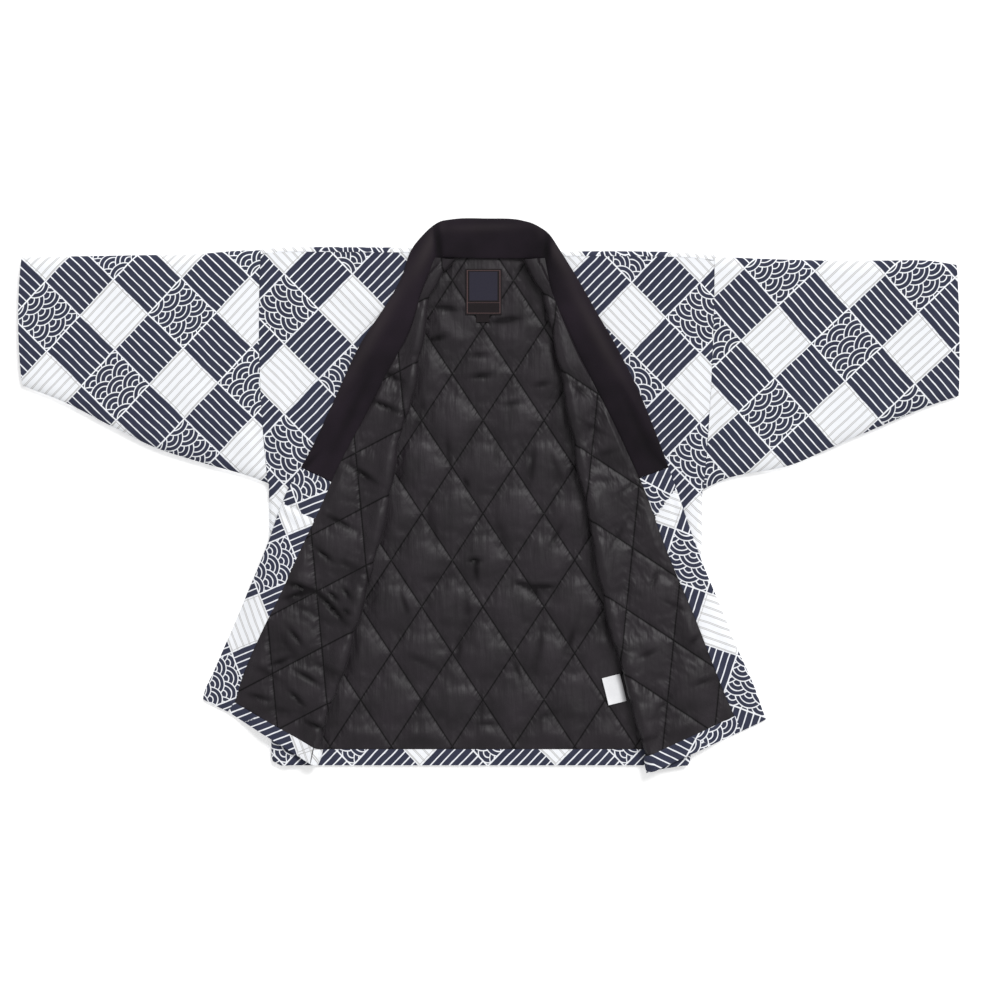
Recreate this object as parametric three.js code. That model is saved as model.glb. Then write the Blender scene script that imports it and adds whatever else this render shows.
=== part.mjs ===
// A padded hanten, a short Japanese coat, laid flat on its back with both fronts turned open.
// Millimetres. +Z is up and z = 0 is the surface it lies on, +Y runs from the hem to the collar.
// Left and right are as seen from above. The origin is the middle of the footprint.
// Each front is one panel: it lies over the back, rolls over at its fold line and comes back out as a
// flap with the quilted lining up, so the printed shell is inside the roll and the lining outside it.
import * as THREE from "three";
import { mergeVertices } from "three/addons/utils/BufferGeometryUtils.js";

// Cloth
const seamGap = 0.3;
const shellWall = 1.2;
const liningWall = 2; // at a stitched line
const puffHeight = 4.6; // wadding over the stitched lines, on the faces that show
const pressedLining = 4.5; // wadding pressed flat between two panels
const sleeveWall = 3;
const bandThickness = 5.4; // the collar is folded double over its core
const coverThickness = 6.6; // where the dark cover is sewn round it
const facingWall = 1.6;

// Levels of the surface between shell and lining, in the back, the front that lies on it and the flap
const halfGap = seamGap / 2;
const backLevel = shellWall + halfGap;
const frontLevel = backLevel + halfGap + 2 * pressedLining + 2 * seamGap;
const frontTop = frontLevel + halfGap + shellWall;
const flapLevel = frontTop + seamGap + shellWall + halfGap;
const floorLevel = backLevel;

// Outline of the body
const hemY = -389;
const hemDepth = 23; // width of the turned-up hem that shows inside
const edgeRound = 6; // how far a side or shoulder fold is rounded in
const rollRadius = 5.5;
const rollFade = 16; // distance over which the roll settles onto the panel below
const droop = { start: 4, end: 56 }; // past the side seam the flap comes down to the surface
const neckEdge = { plain: 68, folded: 92, y: 341.7 }; // where the shoulder fold starts beside the neck

// The collar band behind the neck: its seam, its free edge and how high its underside lies at each
const neck = [
  { seamX: -73, seamY: 342, edgeX: -70, edgeY: 394, seamZ: 10, edgeZ: 5 },
  { seamX: -48, seamY: 343, edgeX: -41, edgeY: 398, seamZ: 5, edgeZ: 1.5 },
  { seamX: -2, seamY: 342, edgeX: -2, edgeY: 398, seamZ: 2, edgeZ: 0 },
  { seamX: 45, seamY: 342, edgeX: 38, edgeY: 397, seamZ: 5, edgeZ: 1.5 },
  { seamX: 71, seamY: 341, edgeX: 64, edgeY: 391, seamZ: 10, edgeZ: 5 },
];

// Each side of the coat, with x measured outwards from the middle.
// fronts: rows across the flap, from the neck to the hem: the roll, the seam of the collar band and the
// band's folded edge. armhole and flank: where the sleeve and the side seam lie. sleeve: its two folds.
const sides = {
  left: {
    sign: -1,
    fronts: [
      { rollX: 47, rollY: 338, seamX: 78, seamY: 341, edgeX: 84, edgeY: 384 },
      { rollX: 70, rollY: 308, seamX: 87, seamY: 315, edgeX: 111, edgeY: 353 },
      { rollX: 86, rollY: 272, seamX: 100, seamY: 281, edgeX: 124, edgeY: 314 },
      { rollX: 96, rollY: 209, seamX: 114, seamY: 237, edgeX: 147, edgeY: 273 },
      { rollX: 107, rollY: 142, seamX: 145, seamY: 180, edgeX: 186, edgeY: 213 },
      { rollX: 129, rollY: 68, seamX: 182, seamY: 108, edgeX: 225, edgeY: 128 },
      { rollX: 142, rollY: -10, seamX: 218, seamY: 39, edgeX: 258, edgeY: 59 },
      { rollX: 155, rollY: -65, seamX: 242, seamY: -16, edgeX: 290, edgeY: 4 },
      { rollX: 176, rollY: -151, seamX: 277, seamY: -91, edgeX: 319, edgeY: -75 },
      { rollX: 192, rollY: -202, seamX: 300, seamY: -143, edgeX: 342, edgeY: -130 },
      { rollX: 209, rollY: -259, seamX: 326, seamY: -195, edgeX: 366, edgeY: -186 },
      { rollX: 231, rollY: -324, seamX: 353, seamY: -256, edgeX: 394, edgeY: -251 },
      { rollX: 240, rollY: -364, seamX: 366, seamY: -297, edgeX: 407, edgeY: -278 },
      { rollX: 245, rollY: -388, seamX: 375, seamY: -312, edgeX: 411, edgeY: -294 },
    ],
    coverEnd: 20, // seamY where the dark collar cover ends
    shoulder: [
      { x: 78, y: 354 },
      { x: 200, y: 355 },
      { x: 300, y: 355 },
      { x: 327, y: 352 },
    ],
    armhole: { topX: 327, topY: 352, bottomX: 317, bottomY: 17, bow: 7 },
    flank: [
      { y: 17, x: 316 },
      { y: -60, x: 315 },
      { y: -389, x: 312 },
    ],
    cuff: { topX: 671, bottomX: 670, bow: 5 },
    sleeve: [
      { along: 0, top: 352, bottom: 17, height: 12.4 },
      { along: 0.1, top: 351, bottom: 30, height: 14.5 },
      { along: 0.25, top: 347, bottom: 45, height: 16 },
      { along: 0.45, top: 345, bottom: 68, height: 16.5 },
      { along: 0.62, top: 344, bottom: 97, height: 16 },
      { along: 0.81, top: 343, bottom: 131, height: 15 },
      { along: 1, top: 342, bottom: 157, height: 12.5 },
    ],
    quilt: { x: 239, y: -219, acrossX: 71, acrossY: -37.5, downX: -7.5, downY: -80.5 },
    folds: [
      { x: 352, y: 84, length: 90, angle: 60, width: 20, height: 2.2 },
      { x: 404, y: 118, length: 130, angle: 46, width: 24, height: 2.4 },
      { x: 470, y: 214, length: 170, angle: 34, width: 30, height: 1.8 },
      { x: 612, y: 182, length: 120, angle: 76, width: 22, height: -1.8 },
      { x: 560, y: 276, length: 180, angle: 14, width: 30, height: -1.4 },
    ],
  },
  right: {
    sign: 1,
    fronts: [
      { rollX: 51, rollY: 338, seamX: 81, seamY: 340, edgeX: 86, edgeY: 378 },
      { rollX: 66, rollY: 308, seamX: 86, seamY: 314, edgeX: 107, edgeY: 345 },
      { rollX: 80, rollY: 278, seamX: 94, seamY: 284, edgeX: 128, edgeY: 311 },
      { rollX: 91, rollY: 227, seamX: 112, seamY: 243, edgeX: 155, edgeY: 263 },
      { rollX: 102, rollY: 179, seamX: 132, seamY: 200, edgeX: 179, edgeY: 222 },
      { rollX: 116, rollY: 106, seamX: 164, seamY: 140, edgeX: 212, edgeY: 158 },
      { rollX: 127, rollY: 42, seamX: 194, seamY: 78, edgeX: 238, edgeY: 95 },
      { rollX: 142, rollY: -32, seamX: 226, seamY: 6, edgeX: 266, edgeY: 20 },
      { rollX: 157, rollY: -112, seamX: 251, seamY: -64, edgeX: 292, edgeY: -55 },
      { rollX: 169, rollY: -173, seamX: 274, seamY: -121, edgeX: 314, edgeY: -114 },
      { rollX: 185, rollY: -233, seamX: 298, seamY: -177, edgeX: 338, edgeY: -169 },
      { rollX: 200, rollY: -285, seamX: 319, seamY: -231, edgeX: 359, edgeY: -222 },
      { rollX: 214, rollY: -334, seamX: 339, seamY: -281, edgeX: 381, edgeY: -271 },
      { rollX: 224, rollY: -375, seamX: 355, seamY: -318, edgeX: 393, edgeY: -305 },
      { rollX: 230, rollY: -398, seamX: 364, seamY: -340, edgeX: 400, edgeY: -323 },
    ],
    coverEnd: 25,
    shoulder: [
      { x: 78, y: 349 },
      { x: 210, y: 349 },
      { x: 290, y: 347 },
      { x: 325, y: 343 },
    ],
    armhole: { topX: 325, topY: 343, bottomX: 309, bottomY: 8, bow: 4 },
    flank: [
      { y: 8, x: 308 },
      { y: -72, x: 307 },
      { y: -389, x: 290 },
    ],
    cuff: { topX: 673, bottomX: 676, bow: 2 },
    sleeve: [
      { along: 0, top: 343, bottom: 8, height: 12.4 },
      { along: 0.1, top: 341, bottom: 25, height: 14.5 },
      { along: 0.33, top: 338, bottom: 42, height: 16 },
      { along: 0.5, top: 337, bottom: 69, height: 16.5 },
      { along: 0.69, top: 337, bottom: 99, height: 16 },
      { along: 0.875, top: 337, bottom: 127, height: 15 },
      { along: 1, top: 331, bottom: 142, height: 12.5 },
    ],
    quilt: { x: 266, y: -209, acrossX: 68, acrossY: -45, downX: -9, downY: -88 },
    folds: [
      { x: 350, y: 92, length: 100, angle: 56, width: 22, height: 2.4 },
      { x: 404, y: 150, length: 130, angle: 42, width: 24, height: 2 },
      { x: 488, y: 160, length: 130, angle: 60, width: 22, height: -2 },
      { x: 560, y: 256, length: 190, angle: 12, width: 30, height: 1.6 },
      { x: 640, y: 206, length: 120, angle: 74, width: 24, height: 1.6 },
    ],
  },
};

// The quilting of the back's lining: one crossing, and the width and height of a diamond
const backQuilt = { x: -8, y: -27, width: 88, height: 134 };
const quiltSteps = 4; // grid steps across one diamond, so the stitched lines fall on grid diagonals
const quiltFade = 24; // the wadding swells to its full height this far from a sewn edge
const rollClear = 16; // and this far inside the edge of a roll that lies over it

// Grid steps of a front: rows, and columns in its side fold, the part below, the roll and the flap
const frontSteps = { rows: 30, fold: 3, under: 2, roll: 4, flap: 6 };

// Labels on the lining. Round each the wadding is pressed down to labelPad over a radius.
const labelPad = 1.5;
const labelRise = 0.12;
const neckLabel = { x: -8, y: 292, width: 46, height: 63, wall: 0.8, pressed: 58 };
const sizeTab = { x: -8, y: 255, width: 12, height: 9, wall: 0.6, pressed: 26 };
const careLabel = { x: 181, y: -277, width: 26, height: 40, wall: 1, turn: 14, pressed: 46 };

const colours = {
  print: 0x2b3150,
  lining: 0x1c1b1d,
  collar: 0x151316,
  label: 0x23263a,
  tape: 0xe9e9ea,
};

// Values between the rows of a table, on a smooth curve through them
function between(rows, key, value, at) {
  const last = rows.length - 1;
  const rising = rows[last][key] > rows[0][key];
  let i = 0;
  while (i < last - 1 && (rising ? rows[i + 1][key] < at : rows[i + 1][key] > at)) i++;
  const step = rows[i + 1][key] - rows[i][key];
  const t = THREE.MathUtils.clamp((at - rows[i][key]) / step, 0, 1);
  const slope = (k) => {
    const a = rows[Math.max(k - 1, 0)];
    const b = rows[Math.min(k + 1, last)];
    return ((b[value] - a[value]) / (b[key] - a[key])) * step;
  };
  const [p, q] = [rows[i][value], rows[i + 1][value]];
  const cubic = 2 * (p - q) + slope(i) + slope(i + 1);
  const square = -3 * (p - q) - 2 * slope(i) - slope(i + 1);
  return ((cubic * t + square) * t + slope(i)) * t + p;
}

const smooth = (from, to, at) => THREE.MathUtils.smoothstep((at - from) / (to - from), 0, 1);
const mix = THREE.MathUtils.lerp;

// A closed solid from rings of points that all have the same number of points
function solidOfRings(rings, joinEnds) {
  const count = rings[0].length;
  const faces = [];
  const at = (i, j) => (i % rings.length) * count + (j % count);
  const lastRing = joinEnds ? rings.length : rings.length - 1;
  for (let i = 0; i < lastRing; i++) {
    for (let j = 0; j < count; j++) {
      faces.push([at(i, j), at(i, j + 1), at(i + 1, j + 1)]);
      faces.push([at(i, j), at(i + 1, j + 1), at(i + 1, j)]);
    }
  }
  if (!joinEnds) {
    const end = rings.length - 1;
    for (let j = 1; j < count - 1; j++) {
      faces.push([at(0, 0), at(0, j + 1), at(0, j)]);
      faces.push([at(end, 0), at(end, j), at(end, j + 1)]);
    }
  }
  return geometryOf(rings.flat(), faces);
}

// Geometry with its faces turned outwards
function geometryOf(points, faces) {
  let volume = 0;
  for (const [a, b, c] of faces) {
    volume += points[a].dot(new THREE.Vector3().crossVectors(points[b], points[c]));
  }
  const turned = volume < 0 ? faces.map(([a, b, c]) => [a, c, b]) : faces;
  const geometry = new THREE.BufferGeometry().setFromPoints(points);
  geometry.setIndex(turned.flat());
  geometry.computeVertexNormals();
  return geometry;
}

// A wall between two grids of points, closed round its four edges
function wallOf(inner, outer, splitBack) {
  const [rows, columns] = [inner.length, inner[0].length];
  const points = [...inner.flat(), ...outer.flat()];
  const at = (layer, i, j) => layer * rows * columns + i * columns + j;
  const faces = [];
  for (let layer = 0; layer < 2; layer++) {
    for (let i = 0; i < rows - 1; i++) {
      for (let j = 0; j < columns - 1; j++) {
        const [a, b] = [at(layer, i, j), at(layer, i, j + 1)];
        const [c, d] = [at(layer, i + 1, j + 1), at(layer, i + 1, j)];
        const pair = splitBack && splitBack(i, j) ? [[a, b, d], [b, c, d]] : [[a, b, c], [a, c, d]];
        for (const [p, q, r] of pair) faces.push(layer ? [p, q, r] : [p, r, q]);
      }
    }
  }
  const edge = [];
  for (let j = 0; j < columns - 1; j++) edge.push([0, j]);
  for (let i = 0; i < rows - 1; i++) edge.push([i, columns - 1]);
  for (let j = columns - 1; j > 0; j--) edge.push([rows - 1, j]);
  for (let i = rows - 1; i > 0; i--) edge.push([i, 0]);
  edge.forEach(([i, j], k) => {
    const [m, n] = edge[(k + 1) % edge.length];
    faces.push([at(0, i, j), at(0, m, n), at(1, m, n)]);
    faces.push([at(0, i, j), at(1, m, n), at(1, i, j)]);
  });
  return geometryOf(points, faces);
}

// Pillow height from 0 on a stitched line to 1 in the middle of a diamond
function pillow(m, n) {
  return Math.sqrt(Math.abs(Math.sin(Math.PI * m) * Math.sin(Math.PI * n)));
}

function backPillow(x, y) {
  const u = (x - backQuilt.x) / backQuilt.width;
  const v = (y - backQuilt.y) / backQuilt.height;
  return pillow(u + v, u - v);
}

function flapPillow(side, x, y) {
  const q = side.quilt;
  const area = q.acrossX * q.downY - q.acrossY * q.downX;
  const [dx, dy] = [x - q.x, y - q.y];
  return pillow(
    (dx * q.downY - dy * q.downX) / area,
    (q.acrossX * dy - q.acrossY * dx) / area,
  );
}

// Height of the soft folds at a point of one side, with x measured outwards
function foldHeight(side, x, y) {
  let height = 0;
  for (const f of side.folds) {
    const angle = THREE.MathUtils.degToRad(f.angle);
    const along = (x - f.x) * Math.cos(angle) + (y - f.y) * Math.sin(angle);
    const across = (y - f.y) * Math.cos(angle) - (x - f.x) * Math.sin(angle);
    height += f.height * Math.exp(-((across / f.width) ** 2) - ((2 * along) / f.length) ** 2);
  }
  return height;
}

// Plan curves of a front, by row number
function rowCurves(side) {
  const make = (name) => {
    const points = side.fronts.map((r) => new THREE.Vector3(r[name + "X"], r[name + "Y"], 0));
    const curve = new THREE.CatmullRomCurve3(points, false, "catmullrom", 0.5);
    return (row) => curve.getPoint(row / (points.length - 1));
  };
  return { roll: make("roll"), seam: make("seam"), edge: make("edge") };
}
for (const side of Object.values(sides)) side.curves = rowCurves(side);

// Row number at which the roll or the band's seam reaches a given y
function rowAt(side, curve, y) {
  let [low, high] = [0, side.fronts.length - 1];
  for (let halving = 0; halving < 40; halving++) {
    const middle = (low + high) / 2;
    if (side.curves[curve](middle).y > y) low = middle;
    else high = middle;
  }
  return (low + high) / 2;
}

// Where the armhole seam lies at a height on the body, and the side seam below it
function armholeX(side, y) {
  const a = side.armhole;
  const k = THREE.MathUtils.clamp((a.topY - y) / (a.topY - a.bottomY), 0, 1);
  return mix(a.topX, a.bottomX, k) + 4 * a.bow * k * (1 - k);
}
const flankX = (side, y) => between(side.flank, "y", "x", y);
const shoulderY = (side, x) => between(side.shoulder, "x", "y", x);

// Where the side fold turns, and the back panel ends beside it
const turnX = (side, y) => flankX(side, y) - shellWall - halfGap - edgeRound;
function backEdge(side, y) {
  const folded = smooth(side.armhole.bottomY + 40, side.armhole.bottomY + 8, y);
  return mix(armholeX(side, y) - seamGap, turnX(side, y) - 2 * seamGap, folded);
}

// Height of the flap's middle surface: on the front, then down to the surface past the side seam
function flapHeight(side, x, y) {
  const past = x - flankX(side, Math.min(y, side.armhole.bottomY));
  return mix(flapLevel, floorLevel, smooth(droop.start, droop.end, past));
}

// A point of a front's middle surface and the direction from it to the lining. Column 0 to 1 is the
// fold at the side seam, 1 to 2 the panel that lies on the back, 2 to 3 the roll and 3 to 4 the flap.
function frontPoint(side, row, column) {
  const roll = side.curves.roll(row);
  const seam = side.curves.seam(row);
  const last = side.fronts.length - 1;
  const tangent = side.curves.roll(Math.min(row + 0.2, last)).sub(side.curves.roll(Math.max(row - 0.2, 0)));
  const inward = new THREE.Vector3(tangent.y, -tangent.x, 0).normalize();
  inward.lerp(new THREE.Vector3(-1, 0, 0), smooth(1.2, 0, row)).normalize();
  const radius = Math.min(rollRadius, 1.4 + 0.09 * roll.distanceTo(seam));
  const centre = roll.clone().addScaledVector(inward, -(radius + halfGap + pressedLining));
  const top = side.armhole.topY - edgeRound - seamGap;
  const sideY = roll.y > 0 ? mix(top, roll.y, smooth(0, 1, row)) : (roll.y * hemY) / side.curves.roll(last).y;
  const folded = smooth(side.armhole.bottomY + 1, side.armhole.bottomY - 11, sideY);
  const openX = armholeX(side, sideY) - seamGap;
  const innerX = mix(openX - edgeRound, turnX(side, sideY), folded);
  const point = new THREE.Vector3();
  const toLining = new THREE.Vector3();
  if (column <= 1) {
    const angle = (column - 0.5) * Math.PI;
    const half = (frontLevel - backLevel) / 2;
    const x = mix(mix(openX, innerX, column), innerX + edgeRound * Math.cos(angle), folded);
    point.set(x, sideY, mix(frontLevel, backLevel + half + half * Math.sin(angle), folded));
    toLining.set(-Math.cos(angle) * folded, 0, mix(-1, -Math.sin(angle), folded)).normalize();
  } else if (column <= 2) {
    const x = mix(innerX, centre.x, column - 1);
    const y = mix(sideY, centre.y, column - 1);
    const lift = (shoulderY(side, x) - edgeRound - seamGap - y) * smooth(75, 110, x);
    point.set(x, y + lift * Math.max(0, 1 - row) ** 2, frontLevel);
    toLining.set(0, 0, -1);
  } else if (column <= 3) {
    const angle = (column - 2.5) * Math.PI;
    toLining.copy(inward).multiplyScalar(Math.cos(angle)).setZ(Math.sin(angle));
    point.copy(centre).addScaledVector(toLining, radius).setZ(frontLevel + radius + radius * toLining.z);
  } else {
    point.lerpVectors(centre, seam, column - 3);
    const rise = frontLevel + 2 * radius - flapLevel;
    const far = point.distanceTo(centre);
    point.z = flapHeight(side, point.x, point.y) + rise * Math.exp(-((far / rollFade) ** 2));
    toLining.set(0, 0, 1);
  }
  point.x *= side.sign;
  toLining.x *= side.sign;
  return { point, toLining };
}

// A grid of points at a distance from the front's middle surface, towards the lining
const frontGrid = (side, rows, columns, distance) =>
  rows.map((row) =>
    columns.map((column) => {
      const { point, toLining } = frontPoint(side, row, column);
      return point.addScaledVector(toLining, distance(row, column, point));
    }),
  );

const steps = (from, to, count) => Array.from({ length: count + 1 }, (_, i) => mix(from, to, i / count));

function frontRows(side) {
  const start = side.fronts[0].rollY;
  const end = side.fronts[side.fronts.length - 1].rollY;
  return steps(start, end, frontSteps.rows).map((y) => rowAt(side, "roll", y));
}
const turnedColumns = [
  ...steps(1, 2, frontSteps.under),
  ...steps(2, 3, frontSteps.roll).slice(1),
  ...steps(3, 4, frontSteps.flap).slice(1),
];

function frontShell(side) {
  const columns = [...steps(0, 1, frontSteps.fold), ...turnedColumns.slice(1)];
  const rows = frontRows(side);
  const inner = frontGrid(side, rows, columns, () => -halfGap);
  const outer = frontGrid(side, rows, columns, () => -halfGap - shellWall);
  return wallOf(inner, outer);
}

// Thickness of a front's lining: pressed under the flap, quilted on it, thin at its sewn edges
function frontPuff(side, row, column, point) {
  if (column <= 3) return pressedLining;
  const hem = side.curves.roll(side.fronts.length - 1).y + hemDepth;
  const edges = smooth(4, 3.8, column) * smooth(hem, hem + quiltFade, side.curves.roll(row).y);
  const puffed = liningWall + puffHeight * flapPillow(side, point.x * side.sign, point.y);
  return mix(mix(pressedLining, puffed, smooth(3, 3.3, column)), liningWall, 1 - edges);
}

function frontLining(side) {
  const rows = frontRows(side);
  const inner = frontGrid(side, rows, turnedColumns, () => halfGap);
  const outer = frontGrid(side, rows, turnedColumns, (row, column, point) =>
    halfGap + frontPuff(side, row, column, point));
  return wallOf(inner, outer);
}

// The turned-up hem on the flap, from the roll's crown to the collar band
function frontHemStrip(side) {
  const rows = frontRows(side).slice(-2);
  const columns = steps(3, 4, frontSteps.flap);
  const base = (row, column, point) => halfGap + frontPuff(side, row, column, point) + seamGap;
  const inner = frontGrid(side, rows, columns, base);
  const outer = frontGrid(side, rows, columns, (...at) => base(...at) + facingWall);
  return wallOf(inner, outer);
}

// The back's printed shell, flat on the surface and turned over at the shoulders. Its rows end at the
// neck seam or where the shoulder turns, and its outermost columns lie on the armholes and side seams.
function backShell() {
  const down = [hemY, -300, -210, -120, -40, 20, 60, 150, 250];
  const inner = [-270, -220, -170, -120, -92, -80, -68, -34, 0, 34, 68, 80, 92, 120, 170, 220, 270];
  const columns = [
    { side: sides.left, outermost: true },
    ...inner.map((x) => ({ side: x < 0 ? sides.left : sides.right, x: Math.abs(x) })),
    { side: sides.right, outermost: true },
  ];
  const half = (frontLevel - backLevel) / 2;
  const pointAt = ({ side, x, outermost }, y, turned, distance) => {
    const plan = outermost ? side.armhole.topX - seamGap : x;
    const fold = smooth(neckEdge.plain, neckEdge.folded, plan);
    const flatY = Math.min(y, mix(neckEdge.y, shoulderY(side, plan) - edgeRound, fold));
    const angle = (fold * turned - 0.5) * Math.PI;
    return new THREE.Vector3(
      side.sign * (outermost ? backEdge(side, flatY) : x),
      flatY + (edgeRound + distance) * Math.cos(angle) + (1 - fold) * edgeRound * turned,
      backLevel + half + (half + distance) * Math.sin(angle),
    );
  };
  const grid = (distance) => [
    ...down.map((y) => columns.map((column) => pointAt(column, y, 0, distance))),
    ...steps(0, 1, 5).map((turned) => columns.map((column) => pointAt(column, Infinity, turned, distance))),
  ];
  return wallOf(grid(halfGap), grid(halfGap + shellWall));
}

// Distance of a point of the back inwards from the edge of the roll that lies over it
function insideRoll(x, y) {
  const side = x < 0 ? sides.left : sides.right;
  return side.curves.roll(rowAt(side, "roll", y)).x - Math.abs(x);
}

// Height of the wadding over the stitched lines of the back's lining
function backPuff(x, y) {
  const showing = smooth(0, rollClear, insideRoll(x, y));
  const most = mix(pressedLining - liningWall, puffHeight, showing);
  let height = Math.min(most, puffHeight * backPillow(x, y));
  for (const label of [neckLabel, sizeTab, careLabel]) {
    const away = Math.hypot(x - label.x, y - label.y) - label.pressed;
    height = Math.min(height, labelPad + Math.max(0, away) * labelRise);
  }
  const hemTop = hemY + hemDepth;
  return height * smooth(hemTop, hemTop + quiltFade, y) * smooth(neckEdge.y, neckEdge.y - quiltFade, y);
}

const backLiningTop = shellWall + seamGap + liningWall;

// The grid follows the stitched lines, but for its outermost rows and columns on the sewn edges
function backLining() {
  const [dx, dy] = [backQuilt.width / quiltSteps, backQuilt.height / quiltSteps];
  const inside = (value, low, high) => value > low + 8 && value < high - 8;
  const cells = steps(-20, 20, 40);
  const [leftTurn, rightTurn] = [-turnX(sides.left, hemY), turnX(sides.right, hemY)];
  const columns = cells.filter((i) => inside(backQuilt.x + i * dx, leftTurn, rightTurn));
  const rows = cells.filter((i) => inside(backQuilt.y + i * dy, hemY, neckEdge.y));
  const ys = [hemY, ...rows.map((i) => backQuilt.y + i * dy), neckEdge.y - seamGap];
  const top = [];
  const base = [];
  for (const y of ys) {
    const left = -backEdge(sides.left, y);
    const right = backEdge(sides.right, y);
    const xs = [left, ...columns.map((i) => backQuilt.x + i * dx), right];
    const below = (x) => shoulderY(x < 0 ? sides.left : sides.right, Math.abs(x)) - edgeRound - seamGap;
    const at = (x, z) => new THREE.Vector3(x, Math.min(y, below(x)), z);
    base.push(xs.map((x) => at(x, shellWall + seamGap)));
    top.push(xs.map((x) => at(x, backLiningTop + backPuff(x, y))));
  }
  const rising = (i, j) => (rows[0] + i + columns[0] + j) % 2 === 0;
  return wallOf(base, top, (i, j) => !rising(i, j));
}

function backHemStrip() {
  const line = (y, z) =>
    steps(0, 1, 12).map((share) => {
      const x = mix(-backEdge(sides.left, y), backEdge(sides.right, y), share);
      return new THREE.Vector3(x, y, z);
    });
  const low = backLiningTop + seamGap;
  const grid = (z) => [line(hemY, z), line(hemY + hemDepth, z)];
  return wallOf(grid(low), grid(low + facingWall));
}

// The collar band's section: from its seam at 0 to its folded edge at 1, and up from its underside
const bandSection = [
  { across: 0, up: 0.15 },
  { across: 0.08, up: 0 },
  { across: 0.36, up: 0 },
  { across: 0.64, up: 0 },
  { across: 0.92, up: 0 },
  { across: 1, up: 0.3 },
  { across: 1, up: 0.68 },
  { across: 0.92, up: 0.97 },
  { across: 0.64, up: 1.05 },
  { across: 0.36, up: 1.05 },
  { across: 0.1, up: 0.97 },
  { across: 0, up: 0.78 },
];

function bandRing(station, thickness) {
  const seam = new THREE.Vector3(station.seamX, station.seamY, station.seamZ);
  const edge = new THREE.Vector3(station.edgeX, station.edgeY, station.edgeZ);
  const away = edge.clone().sub(seam).setZ(0).normalize();
  seam.addScaledVector(away, seamGap);
  return bandSection.map(({ across, up }) => {
    const point = seam.clone().lerp(edge, across);
    if (station.side) point.z = flapHeight(station.side, Math.abs(point.x), point.y) - backLevel;
    point.z += up * thickness;
    return point;
  });
}

// A station of the band beside a front, at a row number
function bandStation(side, row) {
  const seam = side.curves.seam(row);
  const edge = side.curves.edge(row);
  return {
    side,
    seamX: side.sign * seam.x,
    seamY: seam.y,
    seamZ: 0,
    edgeX: side.sign * edge.x,
    edgeY: edge.y,
    edgeZ: 0,
  };
}

// Rows of the band above and below the end of its dark cover
function coverRows(side) {
  const end = rowAt(side, "seam", side.coverEnd);
  return [...frontRows(side).filter((row) => row < end), end];
}
function lowerRows(side) {
  const start = rowAt(side, "seam", side.coverEnd - 2 * seamGap);
  return [start, ...frontRows(side).filter((row) => row > start)];
}

function collarCover() {
  const { left, right } = sides;
  const stations = [
    ...coverRows(left).reverse().map((row) => bandStation(left, row)),
    ...neck,
    ...coverRows(right).map((row) => bandStation(right, row)),
  ];
  return solidOfRings(stations.map((station) => bandRing(station, coverThickness)), false);
}

function collarBand(side) {
  const rings = lowerRows(side).map((row) => bandRing(bandStation(side, row), bandThickness));
  return solidOfRings(rings, false);
}

// One ring of a sleeve, at a share of the way from the armhole to the cuff, drawn in by an inset
function sleeveRing(side, along, inset) {
  const top = between(side.sleeve, "along", "top", along);
  const bottom = between(side.sleeve, "along", "bottom", along);
  const height = between(side.sleeve, "along", "height", along);
  const round = height / 2;
  const flat = steps(top - round, bottom + round, 6);
  const turn = steps(0, 1, 4).slice(1, -1);
  const section = [
    ...flat.map((y) => ({ y, z: 0, ny: 0, nz: -1 })),
    ...turn.map((share) => roundPoint(bottom + round, round, -1, share)),
    ...[...flat].reverse().map((y) => ({ y, z: height, ny: 0, nz: 1 })),
    ...turn.map((share) => roundPoint(top - round, round, 1, 1 - share)),
  ];
  return section.map(({ y, z, ny, nz }) => {
    const insetY = y - ny * inset;
    const down = (top - insetY) / (top - bottom);
    const cuffX = mix(side.cuff.topX, side.cuff.bottomX, down) + 4 * side.cuff.bow * down * (1 - down);
    const x = mix(armholeX(side, insetY), cuffX, along);
    const fold = nz > 0.5 ? foldHeight(side, x, insetY) * smooth(0, 0.06, along) : 0;
    return new THREE.Vector3(side.sign * x, insetY, z - nz * inset + fold);
  });
}

function roundPoint(y, radius, sign, share) {
  const angle = (share - 0.5) * Math.PI;
  const [ny, nz] = [sign * Math.cos(angle), Math.sin(angle)];
  return { y: y + radius * ny, z: radius + radius * nz, ny, nz };
}

function sleeve(side) {
  const outer = steps(0, 1, 15).map((along) => sleeveRing(side, along, 0));
  const inner = steps(1, 0, 15).map((along) => sleeveRing(side, along, sleeveWall));
  return solidOfRings([...outer, ...inner], true);
}

// A flat label on the lining
function labelOn({ x, y, width, height, wall, turn = 0 }) {
  const shape = new THREE.BoxGeometry(width, height, wall);
  shape.rotateZ(THREE.MathUtils.degToRad(turn));
  shape.translate(x, y, backLiningTop + labelPad + seamGap + wall / 2);
  shape.deleteAttribute("normal");
  shape.deleteAttribute("uv");
  return mergeVertices(shape);
}

function cloth(name, geometry, color, roughness) {
  const material = new THREE.MeshStandardMaterial({ color, roughness, metalness: 0 });
  const mesh = new THREE.Mesh(geometry, material);
  mesh.name = name;
  return mesh;
}

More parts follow.
